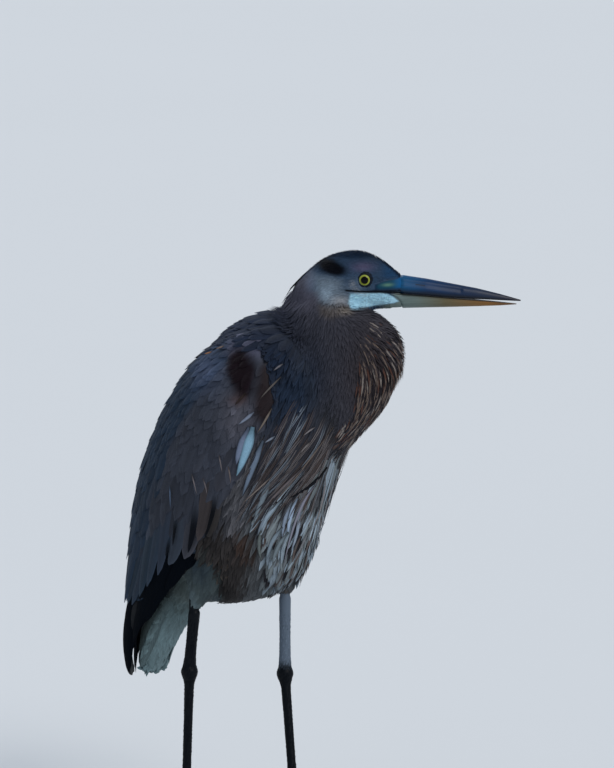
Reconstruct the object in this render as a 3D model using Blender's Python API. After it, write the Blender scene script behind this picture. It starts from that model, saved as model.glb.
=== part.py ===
"""Great blue heron, life size, standing with its neck drawn in and its head turned to its left.

The bird is modelled with +X ahead of its breast, +Y to its left and +Z up, in metres. Its flesh and
feathers are closed solids lofted through a few stations; what lies against a neighbour is cut back
from it by a thin gap. At the end the whole bird is set with the middle of its box over the origin
and the soles of its toes on the floor.
"""

import math

import bmesh
import bpy
import numpy as np
from mathutils import Matrix, Vector

# The gap left between pieces that touch.
GAP = 0.0003

# Head, measured from a point midway between the eyes: ahead is +, up is +.
HEAD_TURN = math.radians(30)
HEAD_CENTRE = (0.1419, 0.0300, 0.6675)
EYE_RISE = 0.0022
EYE_RADIUS = 0.0102
EYE_SPACING = 0.0322
BILL_LENGTH = 0.1374
BILL_HALF_WIDTH = 0.0115
CREST_THICKNESS = 0.0022

# Legs: where each joint stands, which way the foot points, and how thick the leg is.
LEGS = {
    "right": {
        "knee": (0.008, -0.052, 0.385),
        "shank_top": (-0.0508, -0.045, 0.262),
        "ankle": (-0.0578, -0.045, 0.187),
        "foot": (-0.0640, -0.045),
        "yaw": -4,
    },
    "left": {
        "knee": (0.028, 0.052, 0.385),
        "shank_top": (0.0229, 0.045, 0.273),
        "ankle": (0.0229, 0.045, 0.178),
        "foot": (0.0520, 0.020),
        "yaw": 8,
    },
}
SHANK_RADIUS = 0.0068
ANKLE_RADIUS = 0.0105
TARSUS_RADIUS = 0.0058
FOOT_RADIUS = 0.0118
FOOT_HEIGHT = 0.0100
TOE_RADIUS = 0.0046
TOE_LENGTHS = {"inner": 0.072, "middle": 0.094, "outer": 0.080, "hind": 0.042}
TOE_ANGLES = {"inner": 32, "middle": 2, "outer": -30, "hind": 172}
CLAW_LENGTHS = {"inner": 0.013, "middle": 0.014, "outer": 0.011, "hind": 0.019}

# Wings, as angles round the body from the middle of the back, and thickness.
WING_THICKNESS = 0.0095
WING_LIFT = 0.0012
FLIGHT_THICKNESS = 0.0088
WING_EDGE = (
    (1.2, 60), (2.0, 106), (3.0, 110), (3.8, 109), (4.4, 105), (5.4, 98),
    (6.1, 94), (6.5, 90), (6.85, 79), (8.2, 72), (8.8, 20),
)
FLIGHT_EDGE = (
    (6.0, 97), (6.8, 94), (8.0, 92), (8.6, 87), (9.2, 77), (10.4, 60), (11.0, 42),
)

# Stations of the thigh: share of the way from the knee to the shank, half width, half depth.
THIGH = (
    (0.00, 0.010, 0.016),
    (0.10, 0.021, 0.034),
    (0.35, 0.025, 0.040),
    (0.60, 0.021, 0.032),
    (0.85, 0.0135, 0.0175),
    (1.00, 0.0095, 0.0095),
)

# Stations of the trunk from the shoulders to the rump:
# back x, back z, front x, front z, half width.
TRUNK = (
    (0.050, 0.630, 0.078, 0.614, 0.018),
    (0.022, 0.632, 0.128, 0.570, 0.052),
    (-0.026, 0.609, 0.146, 0.508, 0.074),
    (-0.065, 0.567, 0.128, 0.460, 0.083),
    (-0.099, 0.511, 0.108, 0.412, 0.085),
    (-0.126, 0.454, 0.090, 0.362, 0.082),
    (-0.144, 0.396, 0.068, 0.312, 0.074),
    (-0.150, 0.342, 0.032, 0.280, 0.062),
    (-0.148, 0.300, -0.030, 0.266, 0.046),
    (-0.138, 0.274, -0.080, 0.262, 0.022),
)

# The wings follow the trunk to its seventh station and go on to their tips.
WING_GUIDE = TRUNK[:7] + (
    (-0.152, 0.340, 0.030, 0.280, 0.064),
    (-0.155, 0.292, -0.024, 0.262, 0.058),
    (-0.157, 0.246, -0.070, 0.230, 0.051),
    (-0.156, 0.204, -0.104, 0.196, 0.045),
    (-0.152, 0.170, -0.124, 0.166, 0.040),
)

# Stations of the tail from under the rump to its rounded end.
TAIL = (
    (-0.130, 0.320, -0.060, 0.298, 0.034),
    (-0.138, 0.275, -0.075, 0.255, 0.036),
    (-0.143, 0.235, -0.098, 0.222, 0.037),
    (-0.145, 0.200, -0.118, 0.193, 0.036),
    (-0.144, 0.178, -0.130, 0.174, 0.031),
    (-0.142, 0.170, -0.137, 0.168, 0.018),
)

# Heights of the level cuts that part the neck, its ends included.
NECK_LEVELS = (0.70, 0.604, 0.545, 0.40)

# Stations of the neck from the head down to the breast, in the same terms.
NECK = (
    (0.070, 0.664, 0.118, 0.660, 0.014),
    (0.054, 0.650, 0.140, 0.643, 0.024),
    (0.050, 0.630, 0.180, 0.633, 0.032),
    (0.052, 0.600, 0.203, 0.605, 0.037),
    (0.056, 0.562, 0.205, 0.568, 0.041),
    (0.058, 0.520, 0.186, 0.522, 0.043),
    (0.052, 0.478, 0.148, 0.480, 0.038),
    (0.050, 0.436, 0.106, 0.434, 0.022),
)

# Stations of the head: ahead of the eyes, top, bottom, half width.
HEAD = (
    (-0.0870, -0.0090, -0.0200, 0.0060),
    (-0.0800, 0.0010, -0.0290, 0.0150),
    (-0.0660, 0.0150, -0.0345, 0.0215),
    (-0.0450, 0.0290, -0.0360, 0.0262),
    (-0.0250, 0.0355, -0.0365, 0.0275),
    (-0.0080, 0.0370, -0.0362, 0.0262),
    (0.0080, 0.0325, -0.0358, 0.0240),
    (0.0240, 0.0245, -0.0355, 0.0190),
    (0.0390, 0.0130, -0.0353, 0.0140),
    (0.0480, 0.0055, -0.0352, 0.0116),
)

# Stations of the two halves of the bill as shares of its length: top, bottom, share of half width.
BILL_UPPER = (
    (0.000, 0.0042, -0.0166, 1.00),
    (0.180, -0.0002, -0.0188, 0.90),
    (0.400, -0.0058, -0.0217, 0.72),
    (0.620, -0.0115, -0.0237, 0.52),
    (0.820, -0.0184, -0.0254, 0.32),
    (1.000, -0.0253, -0.0268, 0.08),
)
BILL_LOWER = (
    (0.000, -0.0172, -0.0350, 0.92),
    (0.180, -0.0194, -0.0345, 0.82),
    (0.400, -0.0223, -0.0339, 0.66),
    (0.620, -0.0251, -0.0331, 0.48),
    (0.820, -0.0277, -0.0321, 0.30),
    (0.965, -0.0297, -0.0308, 0.07),
)


# Building blocks.


def clear_scene():
    for obj in list(bpy.data.objects):
        bpy.data.objects.remove(obj)


def make_material(name, colour, roughness, metallic=0.0):
    material = bpy.data.materials.new(name)
    material.use_nodes = True
    shader = material.node_tree.nodes["Principled BSDF"]
    shader.inputs["Base Color"].default_value = (*colour, 1.0)
    shader.inputs["Roughness"].default_value = roughness
    shader.inputs["Metallic"].default_value = metallic
    material.diffuse_color = (*colour, 1.0)
    return material


def row_at(rows, place):
    """The smooth row at a place such as 2.4, between the third and the fourth station."""
    rows = np.array(rows, float)
    last = len(rows) - 1
    i = min(int(place), last - 1)
    s = place - i
    before, a, b, after = rows[max(i - 1, 0)], rows[i], rows[i + 1], rows[min(i + 2, last)]
    return (
        a
        + 0.5 * s * (b - before)
        + s * s * (before - 2.5 * a + 2 * b - 0.5 * after)
        + s**3 * (1.5 * (a - b) + 0.5 * (after - before))
    )


def smooth_rows(rows, steps):
    """Rows on a smooth curve through the given ones, with this many steps from one to the next."""
    count = (len(rows) - 1) * steps
    return np.array([row_at(rows, k / steps) for k in range(count + 1)])


def loft(name, rings, material=None, split=False):
    """One closed body through rings of equal numbers of points, in triangles where a cutter must match."""
    bm = bmesh.new()
    loops = [[bm.verts.new(point) for point in ring] for ring in rings]
    count = len(rings[0])
    for first, second in zip(loops, loops[1:]):
        for i in range(count):
            j = (i + 1) % count
            bm.faces.new((first[i], first[j], second[j], second[i]))
    bm.faces.new(loops[0])
    bm.faces.new(loops[-1])
    bmesh.ops.recalc_face_normals(bm, faces=bm.faces)
    if split:
        bmesh.ops.triangulate(bm, faces=bm.faces[:], quad_method="FIXED")
    mesh = bpy.data.meshes.new(name)
    bm.to_mesh(mesh)
    bm.free()
    mesh.shade_smooth()
    mesh.set_sharp_from_angle(angle=math.radians(50))
    obj = bpy.data.objects.new(name, mesh)
    bpy.context.scene.collection.objects.link(obj)
    if material:
        mesh.materials.append(material)
    return obj


def section(row, count, grow=0.0):
    """An oval ring between a back point and a front point of the bird's middle plane."""
    back = Vector((row[0], 0, row[1]))
    front = Vector((row[2], 0, row[3]))
    middle = (back + front) / 2
    depth = (front - back) / 2
    depth += depth.normalized() * grow
    width = Vector((0, row[4] + grow, 0))
    turns = [2 * math.pi * k / count for k in range(count)]
    return [middle - depth * math.cos(turn) + width * math.sin(turn) for turn in turns]


def body_point(row, turn, lift):
    """A point this far outside the section, at an angle from the middle of the back."""
    back = Vector((row[0], 0, row[1]))
    front = Vector((row[2], 0, row[3]))
    depth = (front - back) / 2
    depth += depth.normalized() * lift
    width = Vector((0, row[4] + lift, 0))
    return (back + front) / 2 - depth * math.cos(turn) + width * math.sin(turn)


def tube(name, points, radii, material=None, count=10, floor=None, heading=None):
    """A round bar through points, its rings square to its route or to a heading.

    A floor flattens its underside.
    """
    points = [Vector(point) for point in points]
    rings = []
    for i, point in enumerate(points):
        along = heading or (points[min(i + 1, len(points) - 1)] - points[max(i - 1, 0)]).normalized()
        side = along.cross(Vector((0, 0, 1)))
        if side.length < 0.2:
            side = along.cross(Vector((1, 0, 0)))
        side.normalize()
        over = side.cross(along)
        ring = []
        for k in range(count):
            turn = 2 * math.pi * (k + 0.5) / count
            spot = point + (side * math.cos(turn) + over * math.sin(turn)) * radii[i]
            if floor is not None:
                spot.z = max(spot.z, floor)
            ring.append(spot)
        rings.append(ring)
    return loft(name, rings, material)


def hide_cutter(obj):
    obj.hide_render = True
    obj.display_type = "WIRE"
    return obj


def boolean(obj, other, operation="DIFFERENCE"):
    modifier = obj.modifiers.new(operation.lower() + "_" + other.name, "BOOLEAN")
    modifier.operation = operation
    modifier.object = other
    modifier.solver = "EXACT"


def slab(name, low, high):
    """A wide flat block between two heights, for cutting."""
    bm = bmesh.new()
    bmesh.ops.create_cube(bm, size=1.0)
    bmesh.ops.scale(bm, vec=(0.6, 0.4, high - low), verts=bm.verts)
    bmesh.ops.translate(bm, vec=(0.1, 0.0, (low + high) / 2), verts=bm.verts)
    mesh = bpy.data.meshes.new(name)
    bm.to_mesh(mesh)
    bm.free()
    obj = bpy.data.objects.new(name, mesh)
    bpy.context.scene.collection.objects.link(obj)
    return hide_cutter(obj)


# Head, eyes, crest and bill.


def head_place(ahead, aside, up):
    """A point of the turned head, in the bird's frame."""
    turn = Matrix.Rotation(HEAD_TURN, 4, "Z")
    return Vector(HEAD_CENTRE) + turn @ Vector((ahead, aside, up))


def head_ring(row, count, grow=0.0):
    """An upright oval across the head, a little fuller at its sides than an ellipse."""
    ahead, top, bottom, half_width = row
    middle = (top + bottom) / 2
    half_height = (top - bottom) / 2 + grow
    ring = []
    for k in range(count):
        turn = 2 * math.pi * k / count
        aside = math.copysign(abs(math.sin(turn)) ** 0.9, math.sin(turn))
        up = middle + half_height * math.cos(turn)
        ring.append(head_place(ahead, (half_width + grow) * aside, up))
    return ring


def head_shape(name, material=None, grow=0.0):
    rows = smooth_rows(HEAD, 2)
    rows[0][0] -= grow
    rows[-1][0] += grow
    return loft(name, [head_ring(row, 16, grow) for row in rows], material)


def eye_shape(name, side, material=None, grow=0.0):
    bm = bmesh.new()
    bmesh.ops.create_uvsphere(bm, u_segments=12, v_segments=8, radius=EYE_RADIUS + grow)
    bmesh.ops.rotate(bm, matrix=Matrix.Rotation(math.pi / 2, 3, "X"), verts=bm.verts)
    mesh = bpy.data.meshes.new(name)
    bm.to_mesh(mesh)
    bm.free()
    mesh.shade_smooth()
    if material:
        mesh.materials.append(material)
    obj = bpy.data.objects.new(name, mesh)
    obj.location = head_place(0, side * EYE_SPACING / 2, EYE_RISE)
    obj.rotation_euler = (0, 0, HEAD_TURN)
    bpy.context.scene.collection.objects.link(obj)
    return obj


def bill_half(name, rows, material, start):
    """One half of the bill, flat where the halves meet and rounded outside."""
    upper = rows is BILL_UPPER
    rings = []
    for share, top, bottom, width_share in smooth_rows(rows, 3):
        ahead = start + share * BILL_LENGTH
        half_width = BILL_HALF_WIDTH * width_share
        high = top - bottom
        ring = []
        for k in range(8):
            turn = math.pi * k / 7
            aside = half_width * math.cos(turn)
            rise = high * math.sin(turn) ** 0.8 if 0 < k < 7 else 0.0
            ring.append(head_place(ahead, aside, bottom + rise if upper else top - rise))
        rings.append(ring)
    return loft(name, rings, material)


def crest_shape(name, material):
    """The dark plumes that end the crown and lie down the nape."""
    rows = smooth_rows(
        (
            (-0.046, 0.0290, 0.0040),
            (-0.064, 0.0165, 0.0070),
            (-0.080, 0.0020, 0.0060),
            (-0.093, -0.0130, 0.0035),
            (-0.099, -0.0245, 0.0012),
        ),
        2,
    )
    rings = []
    for ahead, up, half_width in rows:
        thick = CREST_THICKNESS
        ring = []
        for k in range(6):
            turn = 2 * math.pi * k / 6
            spread = math.sin(turn) * thick
            ring.append(head_place(ahead - spread * 0.7, half_width * math.cos(turn), up + spread * 0.7))
        rings.append(ring)
    return loft(name, rings, material)


# Neck and trunk.


def standing_loft(name, stations, steps, count, material=None, grow=0.0):
    """A body through stations listed from the top down, with both its ends grown too."""
    rows = smooth_rows(stations, steps)
    rows[0][[1, 3]] += grow
    rows[-1][[1, 3]] -= grow
    return loft(name, [section(row, count, grow) for row in rows], material)


def neck_shape(name, material=None, grow=0.0):
    return standing_loft(name, NECK, 3, 20, material, grow)


def trunk_shape(name, material=None, grow=0.0):
    return standing_loft(name, TRUNK, 2, 22, material, grow)


def neck_lengths(material, cutters):
    """The neck in three lengths, parted by level cuts."""
    names = ("neck_upper", "neck_middle", "neck_lower")
    lengths = []
    for name, high, low in zip(names, NECK_LEVELS, NECK_LEVELS[1:]):
        length = neck_shape(name, material)
        boolean(length, slab("span_" + name, low + GAP / 2, high - GAP / 2), "INTERSECT")
        for cutter in cutters:
            boolean(length, cutter)
        lengths.append(length)
    return lengths


# Wings and tail.


def wing_front(place):
    """Angle of the folded wing's front edge, from the middle of the back."""
    return math.radians(np.interp(place, *zip(*WING_EDGE)))


def wing_back(place):
    """Angle of the edge where the folded wings come together over the back."""
    return math.radians(np.interp(place, (1.2, 2.2, 3.4, 4.4), (56, 34, 12, 2.2)))


def flight_front(place):
    """Angle of the front edge of the long flight feathers below the wing."""
    return math.radians(np.interp(place, *zip(*FLIGHT_EDGE)))


def blade(name, side, span, back_edge, front_edge, thickness, material=None, grow=0.0, columns=7):
    """A curved blade lying round the body between two edges, thin all round and thicker inside."""
    start, end, steps = span
    places = list(np.linspace(start, end, steps + 1))
    if grow:
        places = [start - grow * 20] + places + [end + grow * 20]
    rings = []
    for place in places:
        row = row_at(WING_GUIDE, place)
        turns = np.linspace(back_edge(place) - grow * 50, front_edge(place) + grow * 50, columns)
        share = (place - start) / (end - start)
        ends = min(1.0, 0.35 + 2.5 * max(0.0, share), 0.75 + 2.5 * max(0.0, 1 - share))
        outer = []
        inner = []
        for turn, across in zip(turns, np.linspace(-1, 1, columns)):
            thick = thickness * ends * (0.3 + 0.7 * (1 - across**4))
            outer.append(body_point(row, side * turn, WING_LIFT + thick + grow))
            inner.append(body_point(row, side * turn, WING_LIFT - grow))
        rings.append(outer + inner[::-1])
    return loft(name, rings, material, split=True)


def wing_shape(name, side, material=None, grow=0.0):
    span = (1.25, 8.75, 15)
    return blade(name, side, span, wing_back, wing_front, WING_THICKNESS, material, grow)


def flight_shape(name, side, material=None):
    def back_edge(place):
        return max(wing_back(place), wing_front(place) - math.radians(6.0))

    span = (6.1, 11.0, 10)
    return blade(name, side, span, back_edge, flight_front, FLIGHT_THICKNESS, material, columns=6)


def tail_shape(name, material):
    """The short tail with its coverts, from the rump down and back to a rounded end."""
    return standing_loft(name, TAIL, 2, 16, material)


# Legs and feet.


def thigh_shape(name, place, material=None, grow=0.0):
    """The feathered thigh, from the trunk's side down to a cuff round the bare shank."""
    knee = Vector(place["knee"])
    end = Vector(place["shank_top"]) + Vector((0, 0, GAP))
    rings = []
    for share, half_width, half_depth in smooth_rows(THIGH, 2):
        spot = knee.lerp(end, share)
        spot.z += grow * (1 - 2 * share)
        half_width += grow
        half_depth += grow
        ring = []
        for k in range(12):
            turn = 2 * math.pi * k / 12
            ring.append(spot + Vector((half_depth * math.cos(turn), half_width * math.sin(turn), 0)))
        rings.append(ring)
    return loft(name, rings, material)


def shank_shape(name, place, material):
    """The bare lower part of the drumstick, level at both ends."""
    top = Vector(place["shank_top"])
    end = Vector(place["ankle"]) + Vector((0, 0, ANKLE_RADIUS * 0.9 + GAP))
    shares = (0.0, 0.5, 0.85, 1.0)
    radii = (SHANK_RADIUS * 1.1, SHANK_RADIUS, SHANK_RADIUS * 1.05, SHANK_RADIUS * 1.2)
    points = [top.lerp(end, share) for share in shares]
    return tube(name, points, radii, material, count=12, heading=Vector((0, 0, -1)))


def tarsus_shape(name, place, material):
    """The ankle's knob, level on top, and the long scaled bone down to the foot."""
    ankle = Vector(place["ankle"])
    foot = Vector((*place["foot"], FOOT_HEIGHT))
    up = Vector((0, 0, 1))
    down = (foot - ankle).normalized()
    length = (foot - ankle).length
    points = [ankle + up * ANKLE_RADIUS * place for place in (0.9, 0.70, 0.35)]
    points += [ankle + down * ANKLE_RADIUS * place for place in (0.1, 0.6, 1.0, 1.5)]
    radii = [ANKLE_RADIUS * share for share in (0.70, 0.86, 1.0, 0.98, 0.80, 0.66, 0.58)]
    for share, radius in ((0.3, 0.98), (0.6, 0.95), (0.85, 1.05), (0.95, 1.3)):
        points.append(ankle + down * length * share)
        radii.append(TARSUS_RADIUS * radius)
    for share, radius in ((1.0, 0.72), (0.7, 0.88), (0.4, 1.0), (0.0, 0.94)):
        points.append(Vector((foot.x, foot.y, FOOT_HEIGHT * share)))
        radii.append(FOOT_RADIUS * radius)
    return tube(name, points, radii, material, count=10, floor=0.0)


def toe_line(toe, side, place):
    """The point on the floor below the ankle bone, and the way the toe points from it."""
    foot = place["foot"]
    angle = math.radians(side * TOE_ANGLES[toe] + place["yaw"])
    return Vector((foot[0], foot[1], 0)), Vector((math.cos(angle), math.sin(angle), 0))


def toe_shape(name, toe, side, place, material):
    """A toe with a pad at each joint, flat on the floor."""
    foot, along = toe_line(toe, side, place)
    start = foot + along * (FOOT_RADIUS + 2 * GAP)
    length = TOE_LENGTHS[toe] - FOOT_RADIUS
    pads = 3 if toe != "hind" else 2
    steps = pads * 2 + 1
    points = []
    radii = []
    for i in range(steps + 1):
        share = i / steps
        radius = TOE_RADIUS * (1.0 - 0.34 * share) * (1 - 0.10 * math.cos(2 * math.pi * pads * share))
        if i == 0:
            radius *= 0.72
        points.append(start + along * length * share + Vector((0, 0, radius * 0.86)))
        radii.append(radius)
    return tube(name, points, radii, material, count=8, floor=0.0, heading=along)


def claw_shape(name, toe, side, place, material):
    """A claw that arches a little and comes down to a point on the floor."""
    foot, along = toe_line(toe, side, place)
    start = foot + along * (TOE_LENGTHS[toe] + 2 * GAP)
    length = CLAW_LENGTHS[toe]
    points = []
    radii = []
    for i in range(5):
        share = i / 4
        bow = math.sin(math.pi * min(1.0, share + 0.15)) * (1 - share * 0.4)
        height = 0.0030 + 0.0024 * bow - 0.0022 * share**2
        points.append(start + along * length * share + Vector((0, 0, height)))
        radii.append(0.0025 * (1 - share) ** 0.8 + 0.0004)
    return tube(name, points, radii, material, count=6, floor=0.0, heading=along)


def leg(name, side, materials, neighbours):
    """A whole leg, its thigh let into the trunk and the wing beside it."""
    place = LEGS[name]
    pocket = hide_cutter(thigh_shape("cut_thigh_" + name, place, grow=GAP))
    for neighbour in neighbours:
        boolean(neighbour, pocket)
    pieces = [
        thigh_shape("thigh_" + name, place, materials["thigh"]),
        shank_shape("shank_" + name, place, materials["shank"]),
        tarsus_shape("tarsus_" + name, place, materials["scale"]),
    ]
    for toe in TOE_LENGTHS:
        pieces.append(toe_shape(f"toe_{toe}_{name}", toe, side, place, materials["scale"]))
        pieces.append(claw_shape(f"claw_{toe}_{name}", toe, side, place, materials["claw"]))
    return pieces


# The whole bird.


def part_materials():
    return {
        "crown": make_material("crown_slate", (0.030, 0.045, 0.065), 0.75),
        "neck": make_material("neck_grey_brown", (0.115, 0.110, 0.120), 0.80),
        "trunk": make_material("breast_streaked", (0.190, 0.195, 0.205), 0.80),
        "wing": make_material("wing_blue_grey", (0.075, 0.095, 0.125), 0.70),
        "flight": make_material("flight_black", (0.012, 0.016, 0.022), 0.60),
        "tail": make_material("tail_pale_grey", (0.200, 0.235, 0.255), 0.75),
        "thigh": make_material("thigh_rufous", (0.130, 0.080, 0.055), 0.80),
        "shank": make_material("shank_grey", (0.100, 0.105, 0.110), 0.60),
        "scale": make_material("leg_scales", (0.030, 0.028, 0.028), 0.55),
        "claw": make_material("claw_horn", (0.020, 0.018, 0.016), 0.35),
        "bill_top": make_material("bill_blue", (0.030, 0.070, 0.130), 0.35),
        "bill_bottom": make_material("bill_yellow", (0.300, 0.210, 0.080), 0.40),
        "iris": make_material("iris_yellow", (0.700, 0.560, 0.050), 0.08),
    }


def build_bird():
    materials = part_materials()
    trunk_cutter = hide_cutter(trunk_shape("cut_trunk", grow=GAP))
    head_cutter = hide_cutter(head_shape("cut_head", grow=GAP))
    neck_cutter = hide_cutter(neck_shape("cut_neck", grow=GAP))
    trunk = trunk_shape("trunk", materials["trunk"])
    pieces = [trunk]

    head = head_shape("head", materials["crown"])
    for name, side in (("left", 1), ("right", -1)):
        boolean(head, hide_cutter(eye_shape("socket_" + name, side, grow=GAP)))
        pieces.append(eye_shape("eye_" + name, side, materials["iris"]))
    pieces.append(head)
    bill_start = HEAD[-1][0] + GAP
    pieces.append(bill_half("bill_upper", BILL_UPPER, materials["bill_top"], bill_start))
    pieces.append(bill_half("bill_lower", BILL_LOWER, materials["bill_bottom"], bill_start))
    crest = crest_shape("crest", materials["crown"])
    boolean(crest, head_cutter)
    boolean(crest, neck_cutter)
    pieces.append(crest)

    pieces += neck_lengths(materials["neck"], [head_cutter, trunk_cutter])

    wings = {}
    for name, side in (("left", 1), ("right", -1)):
        wing_cutter = hide_cutter(wing_shape("cut_wing_" + name, side, grow=1.6 * GAP))
        wing = wing_shape("wing_" + name, side, materials["wing"])
        flight = flight_shape("flight_feathers_" + name, side, materials["flight"])
        boolean(wing, trunk_cutter)
        boolean(flight, trunk_cutter)
        boolean(flight, wing_cutter)
        wings[name] = [wing, flight]
        pieces += wings[name]
    tail = tail_shape("tail", materials["tail"])
    boolean(tail, trunk_cutter)
    pieces.append(tail)

    pieces += leg("right", 1, materials, [trunk, tail] + wings["right"])
    pieces += leg("left", -1, materials, [trunk] + wings["left"])
    return pieces


def set_over_origin(pieces):
    """Parent every object to one empty and move it so that the bird's box stands over the origin."""
    bpy.context.view_layer.update()
    graph = bpy.context.evaluated_depsgraph_get()
    corners = []
    for piece in pieces:
        evaluated = piece.evaluated_get(graph)
        corners += [evaluated.matrix_world @ Vector(corner) for corner in evaluated.bound_box]
    low = [min(corner[i] for corner in corners) for i in range(3)]
    high = [max(corner[i] for corner in corners) for i in range(3)]
    stand = bpy.data.objects.new("heron", None)
    bpy.context.scene.collection.objects.link(stand)
    for obj in bpy.data.objects:
        if obj is not stand:
            obj.parent = stand
    stand.location = (-(low[0] + high[0]) / 2, -(low[1] + high[1]) / 2, -low[2])
    bpy.context.view_layer.update()


def main():
    clear_scene()
    set_over_origin(build_bird())


main()
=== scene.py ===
"""A great blue heron, life size: its skin, plumage, bill, eyes and scaly legs."""

import math
from types import SimpleNamespace

import bmesh
import bpy
import numpy as np
from mathutils import Matrix, Vector
from mathutils.bvhtree import BVHTree


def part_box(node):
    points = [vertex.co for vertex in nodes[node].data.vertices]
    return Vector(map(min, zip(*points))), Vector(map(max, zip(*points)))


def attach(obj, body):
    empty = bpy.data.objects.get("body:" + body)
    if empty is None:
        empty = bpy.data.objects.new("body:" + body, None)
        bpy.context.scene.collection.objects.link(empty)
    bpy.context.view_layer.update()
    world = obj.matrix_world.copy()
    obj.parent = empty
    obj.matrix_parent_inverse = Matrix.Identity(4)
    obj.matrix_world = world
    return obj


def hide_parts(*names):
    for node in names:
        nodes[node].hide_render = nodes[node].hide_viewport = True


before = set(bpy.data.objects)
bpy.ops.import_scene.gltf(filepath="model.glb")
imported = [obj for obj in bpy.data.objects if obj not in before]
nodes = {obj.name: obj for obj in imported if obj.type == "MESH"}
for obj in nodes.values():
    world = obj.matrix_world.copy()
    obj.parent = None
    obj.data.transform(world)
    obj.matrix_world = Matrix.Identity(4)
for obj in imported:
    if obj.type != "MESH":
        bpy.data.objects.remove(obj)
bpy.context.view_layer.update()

# Studio: a pale seamless floor, two soft lamps and a weak sky, seen by a long lens from a
# little above the bird's right shoulder.
FLOOR_TONE = (0.62, 0.64, 0.66)
FLOOR_HALF = 30.0
SKY_TONE = (0.8, 0.88, 1.0)
SKY_POWER = 0.42
CAMERA_TARGET = Vector((-0.0469, 0.085, 0.5263))
CAMERA_AZIMUTH = math.radians(30)
CAMERA_HEIGHT = math.radians(8)
CAMERA_AWAY = 9.0
LENS = 348.9
LAMPS = (  # name, azimuth, height, power, spread, tone
    ("lamp_side", -20, 38, 1.5, 30, (1.0, 0.97, 0.93)),
    ("lamp_back", 150, 50, 1.6, 40, (0.9, 0.95, 1.0)),
)


def link(obj):
    bpy.context.scene.collection.objects.link(obj)
    return obj


def soft_lamp(name, azimuth, height, power, spread, tone):
    """A broad lamp so far off that it lights bird and floor evenly."""
    lamp = bpy.data.lights.new(name, "SUN")
    lamp.energy = power
    lamp.angle = math.radians(spread)
    lamp.color = tone
    obj = link(bpy.data.objects.new(name, lamp))
    turn, rise = math.radians(azimuth), math.radians(height)
    away = Vector((math.cos(turn) * math.cos(rise), math.sin(turn) * math.cos(rise), math.sin(rise)))
    obj.rotation_euler = away.to_track_quat("Z", "Y").to_euler()
    return obj


def new_material(name):
    """An empty node material with its Principled shader."""
    material = bpy.data.materials.new(name)
    material.use_nodes = True
    tree = material.node_tree
    tree.nodes.clear()
    shader = tree.nodes.new("ShaderNodeBsdfPrincipled")
    out = tree.nodes.new("ShaderNodeOutputMaterial")
    tree.links.new(shader.outputs[0], out.inputs[0])
    return material, tree, shader


def feed(node, **inputs):
    """Sets the node's sockets, each to a value or to read a node's first output or a socket."""
    for name, value in inputs.items():
        socket = node.inputs[int(name[1:]) if name[0] == "_" else name.replace("_", " ")]
        if isinstance(value, bpy.types.Node):
            value = value.outputs[0]
        if isinstance(value, bpy.types.NodeSocket):
            node.id_data.links.new(value, socket)
        else:
            socket.default_value = value
    return node


def add_node(tree, kind, operation=None, **inputs):
    """A new node with its sockets fed; _0, _1 and _2 name sockets by number."""
    node = tree.nodes.new("ShaderNode" + kind)
    if operation:
        node.operation = operation
    return feed(node, **inputs)


def own_place(tree):
    """The object's own coordinates."""
    return add_node(tree, "TexCoord").outputs["Object"]


def named_value(tree, name):
    """What the mesh stores at each point under this name."""
    node = add_node(tree, "Attribute")
    node.attribute_name = name
    return node


def tone_ramp(tree, reading, stops):
    """Runs through the stops, each a place from 0 to 1 and a colour, as the reading rises."""
    ramp = add_node(tree, "ValToRGB", _0=reading)
    made = ramp.color_ramp.elements
    made[0].position, made[1].position = stops[0][0], stops[-1][0]
    for place, _ in stops[1:-1]:
        made.new(place)
    for stop, (_, colour) in zip(made, stops):
        stop.color = (*colour, 1)
    return ramp


def floor_material():
    """Matt board with a very faint, broad unevenness."""
    material, tree, shader = new_material("studio_floor")
    cloud = add_node(tree, "TexNoise", Scale=0.8, Vector=own_place(tree))
    low, high = ([c * share for c in FLOOR_TONE] for share in (0.99, 1.01))
    feed(shader, Base_Color=tone_ramp(tree, cloud, ((0, low), (1, high))), Roughness=0.9)
    return material


bm = bmesh.new()
bmesh.ops.create_grid(bm, x_segments=1, y_segments=1, size=FLOOR_HALF)
floor_mesh = bpy.data.meshes.new("studio_floor")
bm.to_mesh(floor_mesh)
bm.free()
floor_mesh.materials.append(floor_material())
floor = link(bpy.data.objects.new("studio_floor", floor_mesh))

world = bpy.data.worlds.new("studio_sky")
world.use_nodes = True
world.node_tree.nodes["Background"].inputs[0].default_value = (*SKY_TONE, 1)
world.node_tree.nodes["Background"].inputs[1].default_value = SKY_POWER
bpy.context.scene.world = world
for lamp in LAMPS:
    soft_lamp(*lamp)

lens = bpy.data.cameras.new("camera")
lens.lens = LENS
lens.clip_end = 100
camera = link(bpy.data.objects.new("camera", lens))
looking = Vector(
    (
        -math.sin(CAMERA_AZIMUTH) * math.cos(CAMERA_HEIGHT),
        math.cos(CAMERA_AZIMUTH) * math.cos(CAMERA_HEIGHT),
        -math.sin(CAMERA_HEIGHT),
    )
)
camera.location = CAMERA_TARGET - looking * CAMERA_AWAY
camera.rotation_euler = looking.to_track_quat("-Z", "Y").to_euler()
bpy.context.scene.camera = camera
bpy.context.scene.view_settings.view_transform = "Standard"

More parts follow.
